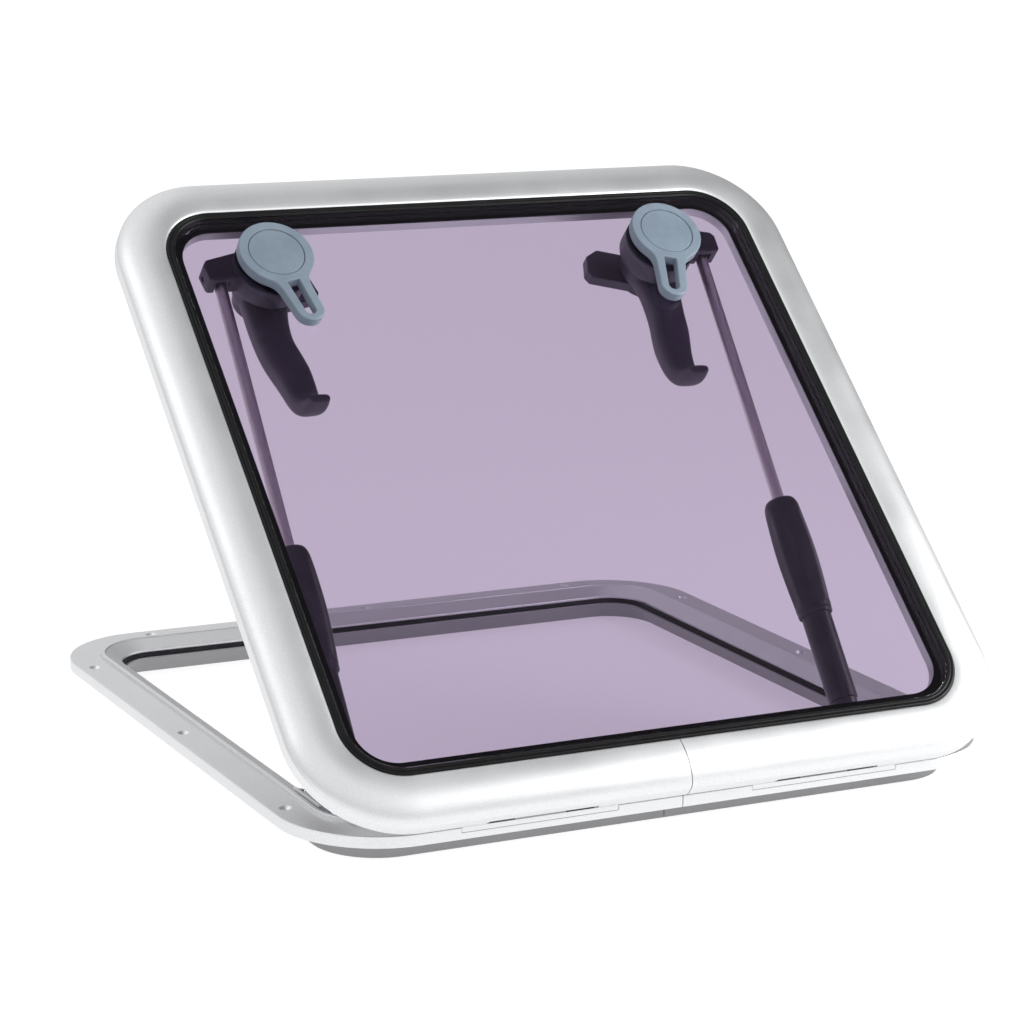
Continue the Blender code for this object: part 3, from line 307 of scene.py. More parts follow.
# The two leaves are darker than their slots' colour, in place of the shade in the rail's notches.
LOOKS = {
    "lid_aluminium": anodised("lid_aluminium_fine", SATIN_SHADE, LID_SATIN, LID_ROUGHNESS, LID_GRAIN),
    # The base's metal gets painted shade below the deck.
    "base_aluminium": anodised("base_aluminium_painted_shade", *BASE_FINISH, SPIGOT_PAINTED_SHADE, PAINTED_SHADE_BELOW),
    "base_leaf": anodised("base_leaf_painted_shade", *BASE_FINISH, KNUCKLE_PAINTED_SHADE, PAINTED_SHADE_ABOVE),
    "lid_leaf": anodised("lid_leaf_painted_shade", LID_LEAF_PAINTED_SHADE, LID_LEAF_PAINTED_SHADE_PALER, BASE_ROUGHNESS, BASE_GRAIN),
    "pane_acrylic": acrylic("pane_acrylic_fine", srgb(182, 169, 192)),
    "gasket_rubber": rubber("gasket_rubber_fine", srgb(7, 7, 9), srgb(15, 15, 18), 0.38),
    "seal_rubber": rubber("seal_rubber_fine", srgb(30, 30, 33), srgb(46, 46, 49), 0.6),
    "bond_black": rubber("bond_black_fine", srgb(6, 6, 8), srgb(12, 12, 14), 0.4),
    "handle_nylon": nylon("handle_nylon_fine", srgb(90, 83, 97), srgb(104, 97, 112), 0.42),
    "lever_nylon": nylon("lever_nylon_fine", srgb(120, 134, 148), srgb(132, 146, 160), 0.42, 1100),
    "stay_nylon": nylon("stay_nylon_fine", srgb(74, 69, 80), srgb(87, 82, 94), 0.36),
    "steel": steel("steel_fine", (0.50, 0.50, 0.50, 1), (0.62, 0.62, 0.62, 1), 0.28, (1, 1, 1)),
    "rod_steel": steel("rod_steel_fine", (0.70, 0.64, 0.66, 1), (0.92, 0.86, 0.88, 1), 0.42, (1, 1, 0.03)),
}

# ---- Mesh helpers, in millimetres ------------------------------------------------------------------------


def rounded(corners, steps=4):
    """An outline whose corners, (x, y) or (x, y, radius), are rounded off."""
    outline = []
    for before, corner, after in zip(corners[-1:] + corners[:-1], corners, corners[1:] + corners[:1]):
        place = Vector(corner[:2])
        if len(corner) < 3:
            outline.append(tuple(place))
            continue
        back = (Vector(before[:2]) - place).normalized()
        ahead = (Vector(after[:2]) - place).normalized()
        half = back.angle(ahead) / 2
        centre = place + (back + ahead).normalized() * (corner[2] / math.sin(half))
        start = place + back * (corner[2] / math.tan(half)) - centre
        end = place + ahead * (corner[2] / math.tan(half)) - centre
        first = math.atan2(start.y, start.x)
        sweep = (math.atan2(end.y, end.x) - first + math.pi) % (2 * math.pi) - math.pi
        for step in range(steps + 1):
            angle = first + sweep * step / steps
            outline.append((centre.x + corner[2] * math.cos(angle), centre.y + corner[2] * math.sin(angle)))
    return outline


def smooth_through(points, per=4):
    """A smooth open curve through points of any number of coordinates, ends included."""
    rows = [points[0], *points, points[-1]]
    curve = []
    for a, b, c, d in zip(rows, rows[1:], rows[2:], rows[3:]):
        for step in range(per):
            t = step / per
            curve.append(
                tuple(
                    0.5
                    * (
                        2 * q
                        + (r - p) * t
                        + (2 * p - 5 * q + 4 * r - s) * t * t
                        + (3 * q - p - 3 * r + s) * t ** 3
                    )
                    for p, q, r, s in zip(a, b, c, d)
                )
            )
    curve.append(tuple(points[-1]))
    return curve


def arc(centre, radius, start, end, steps):
    """Points on an arc, with the angles in degrees."""
    points = []
    for step in range(steps + 1):
        angle = math.radians(start + (end - start) * step / steps)
        points.append((centre[0] + radius * math.cos(angle), centre[1] + radius * math.sin(angle)))
    return points


def finished(name, work):
    """An object in the scene made from a bmesh, which is used up."""
    mesh = bpy.data.meshes.new(name)
    work.to_mesh(mesh)
    work.free()
    made = bpy.data.objects.new(name, mesh)
    bpy.context.scene.collection.objects.link(made)
    return made


def mesh_of(name, verts, faces):
    """A mesh object with its faces turned outwards."""
    work = bmesh.new()
    made = [work.verts.new(v) for v in verts]
    for face in faces:
        work.faces.new([made[i] for i in face])
    bmesh.ops.remove_doubles(work, verts=work.verts, dist=1e-5)
    bmesh.ops.recalc_face_normals(work, faces=work.faces)
    return finished(name, work)


def ring(name, section, height=0.0, steps=20, seam=None):
    """A section of (half-width, height) points swept round the frame's rounded square.

    With a seam, which is its X and its width, the sweep starts and ends there, on the hinge side.
    """
    stations = []
    if seam:
        stations.append((seam[0] + seam[1] / 2, -CORNER_CENTRE, -90))
    for quarter, (x, y) in enumerate(((1, -1), (1, 1), (-1, 1), (-1, -1))):
        for step in range(steps + 1):
            angle = -90 + 90 * (quarter + step / steps)
            stations.append((x * CORNER_CENTRE, y * CORNER_CENTRE, angle))
    if seam:
        stations.append((seam[0] - seam[1] / 2, -CORNER_CENTRE, -90))
    verts = []
    for x, y, degrees in stations:
        angle = math.radians(degrees)
        for half, z in section:
            reach = half - CORNER_CENTRE
            verts.append((x + reach * math.cos(angle), y + reach * math.sin(angle), z + height))
    count = len(section)
    faces = []
    for station in range(len(stations) - (1 if seam else 0)):
        first = station * count
        second = (station + 1) % len(stations) * count
        for i in range(count):
            j = (i + 1) % count
            faces.append((first + i, second + i, second + j, first + j))
    if seam:
        faces.append(tuple(range(count)))
        faces.append(tuple(range(len(verts) - count, len(verts))))
    return mesh_of(name, verts, faces)


def turned(name, profile, segments=64, radius_at=None):
    """A profile of (radius, height) points turned about Z. radius_at can change a radius by its angle."""
    verts = []
    rows = []
    for radius, height in profile:
        if radius < 1e-6:
            rows.append([len(verts)] * segments)
            verts.append((0, 0, height))
            continue
        rows.append(list(range(len(verts), len(verts) + segments)))
        for step in range(segments):
            angle = 2 * math.pi * step / segments
            reach = radius_at(radius, height, angle) if radius_at else radius
            verts.append((reach * math.cos(angle), reach * math.sin(angle), height))
    faces = []
    closed = profile[0][0] > 1e-6 or profile[-1][0] > 1e-6
    pairs = list(zip(rows, rows[1:]))
    if closed:
        pairs.append((rows[-1], rows[0]))
    for low, high in pairs:
        for i in range(segments):
            j = (i + 1) % segments
            face = tuple(dict.fromkeys((low[i], low[j], high[j], high[i])))
            if len(face) > 2:
                faces.append(face)
    return mesh_of(name, verts, faces)


def plate(name, outlines, low, high, edge=0.0, steps=3):
    """Flat outlines, the first one outside and the others holes, given thickness and rounded edges."""
    data = bpy.data.curves.new(name, "CURVE")
    data.dimensions = "2D"
    data.fill_mode = "BOTH"
    for outline in outlines:
        spline = data.splines.new("POLY")
        spline.points.add(len(outline) - 1)
        for point, place in zip(spline.points, outline):
            point.co = (place[0], place[1], 0, 1)
        spline.use_cyclic_u = True
    data.extrude = (high - low) / 2 - edge
    data.bevel_depth = edge
    data.bevel_resolution = steps
    data.offset = -edge
    curve = bpy.data.objects.new(name, data)
    bpy.context.scene.collection.objects.link(curve)
    bpy.context.view_layer.update()
    graph = bpy.context.evaluated_depsgraph_get()
    mesh = bpy.data.meshes.new_from_object(curve.evaluated_get(graph))
    bpy.data.objects.remove(curve)
    work = bmesh.new()
    work.from_mesh(mesh)
    bpy.data.meshes.remove(mesh)
    bmesh.ops.remove_doubles(work, verts=work.verts, dist=1e-3)
    bmesh.ops.translate(work, verts=work.verts, vec=(0, 0, (low + high) / 2))
    bmesh.ops.recalc_face_normals(work, faces=work.faces)
    return finished(name, work)


def block(name, low, high):
    """A box between two opposite corners."""
    work = bmesh.new()
    bmesh.ops.create_cube(work, size=1)
    centre = (Vector(low) + Vector(high)) / 2
    size = Vector(high) - Vector(low)
    work.transform(Matrix.Translation(centre) @ Matrix.Diagonal(size.to_4d()))
    return finished(name, work)


def bar(name, radius, start, end, segments=32):
    """A round bar from start to end."""
    along = Vector(end) - Vector(start)
    work = bmesh.new()
    bmesh.ops.create_cone(
        work, cap_ends=True, segments=segments, radius1=radius, radius2=radius, depth=along.length
    )
    turn = along.to_track_quat("Z", "Y").to_matrix().to_4x4()
    work.transform(Matrix.Translation((Vector(start) + Vector(end)) / 2) @ turn)
    return finished(name, work)


def apply_modifiers(made):
    bpy.context.view_layer.update()
    graph = bpy.context.evaluated_depsgraph_get()
    mesh = bpy.data.meshes.new_from_object(made.evaluated_get(graph))
    made.modifiers.clear()
    made.data = mesh
    return made


def combine(made, others, operation):
    """Joins or cuts an object by others, which are used up."""
    for other in others:
        boolean = made.modifiers.new("boolean", "BOOLEAN")
        boolean.operation = operation
        boolean.object = other
        boolean.solver = "EXACT"
        apply_modifiers(made)
        bpy.data.objects.remove(other)
    return made


def cut(made, *others):
    return combine(made, others, "DIFFERENCE")


def join(made, *others):
    return combine(made, others, "UNION")


def soften(made, width, segments=3, angle=35):
    """Rounds the sharp edges."""
    bevel = made.modifiers.new("round", "BEVEL")
    bevel.width = width
    bevel.segments = segments
    bevel.limit_method = "ANGLE"
    bevel.angle_limit = math.radians(angle)
    return apply_modifiers(made)


def transform(made, matrix):
    made.data.transform(matrix)
    if matrix.determinant() < 0:
        made.data.flip_normals()
    return made


def mirrored(made, sign):
    """The left latch's pieces are made as they are, and the right one's are mirrored."""
    return transform(made, Matrix.Diagonal((-1, 1, 1, 1))) if sign > 0 else made


def blended(made, voxel, smoothing):
    """Joins an object's overlapping shapes into one skin with soft inner corners."""
    remesh = made.modifiers.new("skin", "REMESH")
    remesh.mode = "VOXEL"
    remesh.voxel_size = voxel
    relax = made.modifiers.new("relax", "SMOOTH")
    relax.factor = 0.5
    relax.iterations = smoothing
    return apply_modifiers(made)


def piece(made, node, look, body, place, sharp=32):
    """Finishes a shape: its material, its place, its body and the node that it stands for, which it hides.
    """
    made.data.transform(Matrix.Scale(MM, 4))
    made.data.shade_smooth()
    made.data.set_sharp_from_angle(angle=math.radians(sharp))
    made.modifiers.new("even", "WEIGHTED_NORMAL").keep_sharp = True
    apply_modifiers(made)
    made.name = node + "_fine"
    made.data.name = made.name
    made.data.materials.clear()
    made.data.materials.append(LOOKS[look])
    made.matrix_world = place
    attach(made, body)
    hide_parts(node)
    return made


# ---- Base ------------------------------------------------------------------------------------------------

HOLE_PITCH = 192.5
HOLE_HALF = 268.3
HOLES = [(along, end) for end in (-1, 1) for along in (-HOLE_PITCH, 0, HOLE_PITCH)]
FLANGE_TOP = 8.6
SLOPE_FOOT = (238.6, 4.5)
SLOPE_HEAD = (251.4, 10.8)
BASE_SEAM = (-2.6, 0.6)  # X and width
LID_SEAM = (0.0, 0.6)
BARREL_RADIUS = 2.6
PIN_BORE = 1.5
BASE_SCREW_X = 50  # from the hinge's middle
BASE_SCREW_Y = -270.5
LID_SCREW_X = 29
LID_SCREW_Y = -268
LEAF_TOP = LIP - 11.3
LEAF_LOW = LEAF_TOP - 2.6


def countersink(x, y, top):
    """A cutter for one of the flange's screw holes."""
    profile = [(0, 1), (5.1, 1), (4.75, 0), (4.6, -0.25), (2.6, -2.3), (2.6, -14), (0, -14)]
    return transform(turned("sink", profile, 40), Matrix.Translation((x, y, top)))


def countersink_small(x, y, top, way):
    """A cutter for a hinge screw's hole, from above or (with way below zero) from below."""
    profile = [(0, 1), (3.1, 1), (2.9, -0.2), (1.5, -1.6), (1.5, -8), (0, -8)]
    turn = Matrix.Identity(4) if way > 0 else Matrix.Rotation(math.pi, 4, "X")
    return transform(turned("sink", profile, 40), Matrix.Translation((x, y, top)) @ turn)


def hinge_bar(name, middle, low, high, radius):
    """A round bar on the hinge's axis, from low to high beside the hinge's middle."""
    start = (middle + low, HINGE_Y, HINGE_ABOVE_DECK)
    return bar(name, radius, start, (middle + high, HINGE_Y, HINGE_ABOVE_DECK))


def make_base_frame():
    section = rounded(
        [
            (280, 0, 0.4),
            (280, FLANGE_TOP, 0.8),
            (255.8, FLANGE_TOP, 0.3),
            (255.3, 11.8, 0.8),
            (252.2, 11.8, 0.9),
            (*SLOPE_HEAD, 0.4),
            (*SLOPE_FOOT, 0.5),
            (SLOPE_FOOT[0], -0.5, 0.2),
            (234.4, -0.5, 0.35),
            (234.4, -1.8, 0.4),
            (245.8, -15.7, 0.6),
            (254, -15.7, 0.5),
            (254, 0, 0.3),
        ]
    )
    base = ring("base_frame", section, seam=BASE_SEAM)
    cutters = []
    for along, end in HOLES:
        cutters.append(countersink(along, end * HOLE_HALF, FLANGE_TOP))
        cutters.append(countersink(end * HOLE_HALF, along, FLANGE_TOP))
    for _, sign in SIDES:
        middle = sign * HINGE_X
        cutters.append(block("pocket", (middle - 60.9, -282, 4.7), (middle + 60.9, -264.1, 12)))
    cut(base, *cutters)
    piece(base, "base_frame", "base_aluminium", "base", DECK)


def make_base_seal():
    section = rounded(
        [(238.3, 2.7, 0.2), (237.4, 2.6, 0.5), (235.5, 0.4, 0.5), (235.2, -0.2, 0.2), (238.3, -0.2, 0.2)]
    )
    piece(ring("base_seal", section), "base_seal", "seal_rubber", "base", DECK)


def screw_head(name, radius, depth, length, shank):
    """A countersunk screw with a cross recess. Its head's face is at zero height."""
    profile = [(0, 0), (radius - 0.15, 0), (radius, -0.12), (radius, -0.3)]
    profile += [(shank, -depth), (shank, -length), (0, -length)]
    screw = turned(name, profile, 40)
    for turn in (45, 135):
        slot = block("cross", (-radius * 0.62, -0.36, -1.1), (radius * 0.62, 0.36, 1))
        cut(screw, transform(slot, Matrix.Rotation(math.radians(turn), 4, "Z")))
    return screw


def hinge_screw(place):
    return transform(screw_head("screw", 2.6, 1.6, 5.6, 1.2), place)


def make_hinge_screws(side, sign):
    middle = sign * HINGE_X
    for number, way in ((1, -1), (2, 1)):
        place = Matrix.Translation((middle + way * BASE_SCREW_X, BASE_SCREW_Y, FLANGE_TOP - 0.1))
        piece(hinge_screw(place), f"hinge_base_screw_{side}_{number}", "steel", "base", DECK)
        place = Matrix.Translation((middle + way * LID_SCREW_X, LID_SCREW_Y, LEAF_LOW + 0.1))
        place = place @ Matrix.Rotation(math.pi, 4, "X")
        piece(hinge_screw(place), f"hinge_lid_screw_{side}_{number}", "steel", "lid", LID)


def make_base_leaf(side, sign):
    middle = sign * HINGE_X
    leaf = block("leaf", (middle - 60.6, -279.9, 5), (middle + 60.6, -264.4, FLANGE_TOP))
    for low, high in ((-41.5, -20.4), (20.4, 41.5)):
        web = block("web", (middle + low, -280, 8), (middle + high, -277.6, HINGE_ABOVE_DECK - 1))
        join(leaf, web, hinge_bar("barrel", middle, low, high, BARREL_RADIUS))
    soften(leaf, 0.3, 2)
    cut(leaf, hinge_bar("bore", middle, -60, 60, PIN_BORE))
    for way in (-BASE_SCREW_X, BASE_SCREW_X):
        cut(leaf, countersink_small(middle + way, BASE_SCREW_Y, FLANGE_TOP, 1))
    piece(leaf, f"hinge_base_leaf_{side}", "base_leaf", "base", DECK)


def make_lid_leaf(side, sign):
    middle = sign * HINGE_X
    leaf = block("leaf", (middle - 40, -276, LEAF_LOW), (middle + 40, -262, LEAF_TOP))
    neck = block("neck", (middle - 20, HINGE_Y, LEAF_LOW - 0.6), (middle + 20, -270, LEAF_TOP - 0.2))
    join(leaf, neck, hinge_bar("barrel", middle, -20, 20, BARREL_RADIUS))
    soften(leaf, 0.3, 2)
    cut(leaf, hinge_bar("bore", middle, -60, 60, PIN_BORE))
    for way in (-LID_SCREW_X, LID_SCREW_X):
        cut(leaf, countersink_small(middle + way, LID_SCREW_Y, LEAF_LOW, -1))
    piece(leaf, f"hinge_lid_leaf_{side}", "lid_leaf", "lid", LID)


def make_hinge_pin(side, sign):
    length = 84.0
    profile = [(0, length + 1.2), (1.7, length + 1.2), (2.1, length + 0.95), (2.2, length + 0.6)]
    profile += [(2.2, length), (1.2, length), (1.2, 0.2), (1.0, 0), (0, 0)]
    pin = turned("pin", profile, 40)
    start = Matrix.Translation((sign * HINGE_X - 42.2, HINGE_Y, HINGE_ABOVE_DECK))
    transform(pin, start @ Matrix.Rotation(math.pi / 2, 4, "Y"))
    piece(pin, f"hinge_pin_{side}", "steel", "lid", LID)


# ---- Lid -------------------------------------------------------------------------------------------------


def make_lid_frame():
    crown = smooth_through(
        [
            (250.0, -0.3),
            (250.7, 0.25),
            (252.2, 0.75),
            (256, 1.2),
            (262, 1.3),
            (268, 0.7),
            (273.5, -0.7),
            (278, -2.7),
            (281.5, -5.2),
            (283.6, -7.6),
            (284.3, -8.7),
        ]
    )
    skirt = rounded(
        [
            (284.35, -8.8),
            (284.1, -9.2),
            (284.3, -9.6),
            (284.9, -10.6, 0.8),
            (284.9, -19.3, 0.6),
            (282.4, -19.3, 0.4),
            (282.4, -11),
            (259, -11),
            (259, -8.6),
            (255, -8.6),
            (255, -11),
            (252, -11),
            (251.4, -15, 0.6),
            (239.2, -15, 0.5),
            (238.8, -20, 0.5),
            (236, -20, 0.5),
            (236, -11.9, 0.2),
            (250, -11.9),
        ]
    )
    rail = ring("lid_frame", crown + skirt, LIP, 24, LID_SEAM)
    bottom = LIP - 19.3
    for _, sign in SIDES:
        middle = sign * HINGE_X
        outline = [(-43.5, -1), (-43.5, 0), (-40.8, 2.7), (43.5, 2.7), (43.5, -1)]
        notch = plate("notch", [[(middle + x, z) for x, z in outline]], -1, 9)
        transform(notch, Matrix.Translation((0, -281, bottom)) @ Matrix.Rotation(math.pi / 2, 4, "X"))
        cut(rail, notch)
    piece(rail, "lid_frame", "lid_aluminium", "lid", LID)


def make_glazing():
    gasket = smooth_through([(249.7, 0.1), (249.4, 0.6), (248.6, 0.95), (247.7, 0.85), (247.2, 0.45)])
    gasket += smooth_through([(246.9, 0.4), (246.3, 0.95), (245.4, 1.05), (244.5, 0.6), (243.9, 0.0)])
    gasket += [(243.9, -11.6), (249.7, -11.6)]
    piece(ring("glazing_gasket", gasket, LIP, 24), "glazing_gasket", "gasket_rubber", "lid", LID)
    bond = rounded([(243.5, -11.6, 0.2), (243.5, -10.5, 0.2), (236, -10.5, 0.4), (236, -11.6, 0.3)])
    piece(ring("bond_ring", bond, LIP, 24), "bond_ring", "bond_black", "lid", LID)
    bulb = [(257 + x, -15 + z) for x, z in arc((0, 0), 3.7, 118, 422, 28)]
    seal = [(258.7, -8.9), *reversed(bulb), (255.3, -8.9)]
    piece(ring("lid_seal", seal, LIP, 24), "lid_seal", "seal_rubber", "lid", LID)


def rounded_square(half, steps=24):
    """The outline of the frame's rounded square at a half-width."""
    radius = half - CORNER_CENTRE
    points = []
    for quarter, (x, y) in enumerate(((1, 1), (-1, 1), (-1, -1), (1, -1))):
        points += arc((x * CORNER_CENTRE, y * CORNER_CENTRE), radius, 90 * quarter, 90 * quarter + 90, steps)
    return points


def make_pane():
    holes = []
    for _, sign in SIDES:
        holes.append(arc((sign * LATCH_X, LATCH_Y), 11.3, 0, 352.5, 47))
    pane = plate("pane", [rounded_square(243.6), *holes], LIP - 10.2, LIP - 0.2, 0.4, 3)
    piece(pane, "lid_pane", "pane_acrylic", "lid", LID, 4)


# ---- Latches ---------------------------------------------------------------------------------------------

CAP_RADIUS = 29.3
ARM_TIP = 11.0
LEVER_REACH = 67.0
LEVER_LOW = 1.4
LEVER_TOP = 10.0
HANDLE_LAG = {"left": math.radians(8.7), "right": math.radians(13.7)}
TONGUE_LEAD = math.radians(2)
TONGUE_TOP = -47.0
TONGUE_LOW = -57.0
LEVER_ANGLE = {side: -math.radians(JOINTS[f"latch_{side}_turn"]["range_deg"][0]) for side, _ in SIDES}


def lever_outline():
    fillet = 17.0
    shoulder = ARM_TIP + 1.2 + fillet
    drop = math.sqrt((CAP_RADIUS + fillet) ** 2 - shoulder**2)
    meet = math.degrees(math.atan2(drop, shoulder))
    return (
        arc((0, 0), CAP_RADIUS, -meet, 180 + meet, 64)
        + arc((-shoulder, -drop), fillet, meet, 0, 10)[1:]
        + arc((0, ARM_TIP - LEVER_REACH), ARM_TIP, 180, 360, 26)
        + arc((shoulder, -drop), fillet, 180, 180 - meet, 10)[:-1]
    )


def make_lever(side, sign):
    slot = rounded([(5.2, -28, 1.0), (-5.2, -28, 1.0), (-4.3, -61, 4.2), (4.3, -61, 4.2)], 8)
    lever = plate("lever", [lever_outline(), slot], LEVER_LOW, LEVER_TOP, 1.1, 4)
    profile = [(0, 11), (22.9, 11), (22.5, 10.1), (22.05, 9.5), (22.0, 7.6), (0, 7.6)]
    recess = turned("recess", profile, 96)
    socket = turned("socket", [(0, 5.9), (SPINDLE_BORE, 5.9), (SPINDLE_BORE, 0), (0, 0)], 48)
    cut(lever, recess, socket)
    place = latch_place(sign, LEVER_ANGLE[side])
    piece(mirrored(lever, sign), f"outside_lever_{side}", "lever_nylon", f"latch_{side}", place, 40)
    disc = turned("disc", [(0, 9.75), (20.9, 9.8), (21.4, 9.6), (21.6, 9.2), (21.6, 7.9), (0, 7.9)], 96)
    piece(disc, f"lever_disc_{side}", "lever_nylon", f"latch_{side}", place, 50)


def make_spindle(side, sign):
    place = latch_place(sign, LEVER_ANGLE[side])
    profile = [(0, 5.6), (5.6, 5.6), (6, 5.2), (6, -49.6), (5.6, -50), (0, -50)]
    piece(turned("spindle", profile, 40), f"latch_spindle_{side}", "steel", f"latch_{side}", place)
    profile = [(SPINDLE_BORE, 1.2), (27, 1.2), (27.7, 1.0), (28, 0.6), (28, 0.1), (27.8, 0)]
    profile += [(11, 0), (11, -10.2), (SPINDLE_BORE, -10.2)]
    bush = turned("bush", profile, 80)
    piece(bush, f"spindle_bush_{side}", "handle_nylon", "lid", latch_place(sign, 0))


def make_housing(side, sign):
    """The boss under the pane, with a hollow wing for the stay's end."""
    profile = [(0, -10.5), (28.4, -10.5), (29, -11.1), (29, -25.5), (28, -28), (26.5, -29.6), (24, -31)]
    boss = turned("boss", [*profile, (0, -31)], 80)
    wing_outline = rounded(
        [(0, 17), (-20, 16, 8), (-50, 9, 3), (-53, 5, 3), (-51.5, -10, 3), (-20, -10, 6), (0, -13)], 6
    )
    wing = plate("wing", [wing_outline], -28, -10.5, 1.8, 4)
    join(boss, wing)
    eye = LATCH_X - STAY_X
    hollow = block("hollow", (eye - 5.65, -20, -33), (eye + 5.65, 6, -15.6))
    start = (-70, UPPER_PIN_Y, -UPPER_PIN_DROP)
    pin_hole = bar("pin_hole", UPPER_PIN_BORE, start, (eye + 10.6, *start[1:]), 28)
    bore = bar("bore", SPINDLE_BORE, (0, 0, 0), (0, 0, -40), 48)
    cut(boss, hollow, pin_hole, bore)
    soften(boss, 0.5, 2, 50)
    place = latch_place(sign, 0)
    piece(mirrored(boss, sign), f"latch_housing_{side}", "handle_nylon", "lid", place)


def loft(name, rings):
    """A closed skin through rings of equally many points."""
    count = len(rings[0])
    verts = [point for row in rings for point in row]
    faces = []
    for row in range(len(rings) - 1):
        first = row * count
        for i in range(count):
            j = (i + 1) % count
            faces.append((first + i, first + j, first + count + j, first + count + i))
    faces.append(tuple(range(count)))
    faces.append(tuple(range(len(verts) - count, len(verts))))
    return mesh_of(name, verts, faces)


# The inside handle, in rows of distance from the spindle, height, thickness, middle and half-width.
GRIP_SPINE = (
    (-8, -40.5, 17, 0, 19.5),
    (12, -41.5, 18, -1.5, 18.8),
    (26, -44, 20, -3.2, 16.6),
    (38, -46.4, 21.4, -3.6, 15.2),
    (50, -48, 22, -3.0, 14.6),
    (64, -48.4, 22.2, -1.0, 15),
    (76, -48.6, 22.2, 1.2, 14.4),
    (88, -48.8, 21, 2.6, 13),
    (99, -48.2, 19, 3, 11.8),
    (107.5, -44.6, 17, 3, 10.8),
    (113.6, -37.6, 14, 3, 10),
    (116.6, -29.6, 10.4, 3, 9.2),
    (118.2, -22, 6, 3, 8),
)
GRIP_SIDES = 28


def squarish(angle, power=0.62):
    """A point on a rounded square's rim."""
    c, s = math.cos(angle), math.sin(angle)
    return math.copysign(abs(c) ** power, c), math.copysign(abs(s) ** power, s)


def make_handle(side, sign):
    spine = smooth_through(GRIP_SPINE, 5)
    rings = []
    for index, (reach, height, thick, middle, half) in enumerate(spine):
        before = spine[max(index - 1, 0)]
        after = spine[min(index + 1, len(spine) - 1)]
        along = Vector((after[0] - before[0], after[1] - before[1])).normalized()
        row = []
        for step in range(GRIP_SIDES):
            across, up = squarish(2 * math.pi * step / GRIP_SIDES)
            lift = up * thick / 2
            row.append((middle + half * across, -(reach - along.y * lift), height + along.x * lift))
        rings.append(row)
    handle = loft("handle", rings)
    profile = [(0, -31.5), (20.5, -31.5), (21.6, -32), (22, -33), (22, -45), (21.4, -46.2), (20, -46.6)]
    join(handle, turned("hub", [*profile, (0, -46.6)], 64))
    blended(handle, 0.9, 5)
    cut(handle, bar("socket", SPINDLE_BORE, (0, 0, 0), (0, 0, -80), 48))
    place = latch_place(sign, LEVER_ANGLE[side] - HANDLE_LAG[side])
    piece(mirrored(handle, sign), f"inside_handle_{side}", "handle_nylon", f"latch_{side}", place, 60)


def make_tongue(side, sign):
    outline = rounded([(0, -15), (45, -15, 2), (49, -10, 2), (49, 6, 2), (40, 15, 2.5), (0, 15)], 5)
    tongue = plate("tongue", [outline], TONGUE_LOW, TONGUE_TOP, 1.2, 3)
    profile = [(0, TONGUE_TOP), (18.2, TONGUE_TOP), (19, TONGUE_TOP - 0.8)]
    profile += [(19, TONGUE_LOW + 0.8), (18.2, TONGUE_LOW), (0, TONGUE_LOW)]
    rib = rounded([(22, -9, 2), (47, -7, 2), (47, 3, 2), (22, 9, 2)], 4)
    join(tongue, turned("hub", profile, 64), plate("rib", [rib], -58.6, -55, 0.8, 2))
    cut(tongue, bar("bore", SPINDLE_BORE, (0, 0, 0), (0, 0, -80), 48))
    soften(tongue, 0.35, 2, 55)
    place = latch_place(sign, LEVER_ANGLE[side] + TONGUE_LEAD)
    piece(mirrored(tongue, sign), f"latch_tongue_{side}", "handle_nylon", f"latch_{side}", place)


def make_handle_screw(side, sign):
    top = TONGUE_LOW - 0.3
    profile = [(0, top), (9, top), (9, top - 1.7), (8.6, top - 2.5), (7.2, top - 3.3)]
    profile += [(6, top - 3.6), (0, top - 3.6)]
    screw = turned("screw", profile, 48)
    cut(screw, bar("key", 2.5, (0, 0, top - 6), (0, 0, top - 1.8), 6))
    place = latch_place(sign, LEVER_ANGLE[side])
    piece(screw, f"handle_screw_{side}", "steel", f"latch_{side}", place)


# ---- Stays -----------------------------------------------------------------------------------------------

TUBE_RADIUS = 11.6
TUBE_LOW = 26.0
TUBE_HIGH = 176.0
GRIP_LOW = 97.0
GRIP_HIGH = 196.0
ROD_LOW = 94.0
FLUTES = 8
FLUTE_DEPTH = 0.95
FLUTED_FROM = 12.8  # radius under which a point is on an end or in the bore


def make_rod(side):
    low = ROD_LOW + 1.2
    rod = turned("rod", [(0, STAY_LENGTH), (4.75, STAY_LENGTH), (4.75, low), (0, low)], 48)
    eye = turned("eye", [(0, 4.35), (4.8, 4.35), (5.2, 3.95), (5.2, -3.95), (4.8, -4.35), (0, -4.35)], 48)
    transform(eye, Matrix.Translation((0, 0, STAY_LENGTH)) @ Matrix.Rotation(math.pi / 2, 4, "Y"))
    join(rod, eye)
    cut(rod, bar("bore", UPPER_PIN_BORE, (-20, 0, STAY_LENGTH), (20, 0, STAY_LENGTH), 28))
    place = stay_place(side)
    piece(rod, f"stay_rod_{side}", "rod_steel", f"rod_{side}", place)
    profile = [(0, ROD_LOW + 0.8), (8.4, ROD_LOW + 0.8), (9.4, ROD_LOW - 0.2)]
    profile += [(9.4, ROD_LOW - 8), (8.4, ROD_LOW - 9), (0, ROD_LOW - 9)]
    piece(turned("piston", profile, 48), f"stay_piston_{side}", "stay_nylon", f"rod_{side}", place)


def make_upper_pin(side, sign):
    middle = Vector((sign * STAY_X, LATCH_Y + UPPER_PIN_Y, LIP - UPPER_PIN_DROP))
    profile = [(0, 11.5), (1.7, 11.5), (2, 11.2), (2, -8.3), (1.7, -8.6), (0, -8.6)]
    pin = turned("pin", profile, 32)
    transform(pin, Matrix.Translation(middle) @ Matrix.Rotation(sign * math.pi / 2, 4, "Y"))
    piece(pin, f"stay_upper_pin_{side}", "steel", "lid", LID)


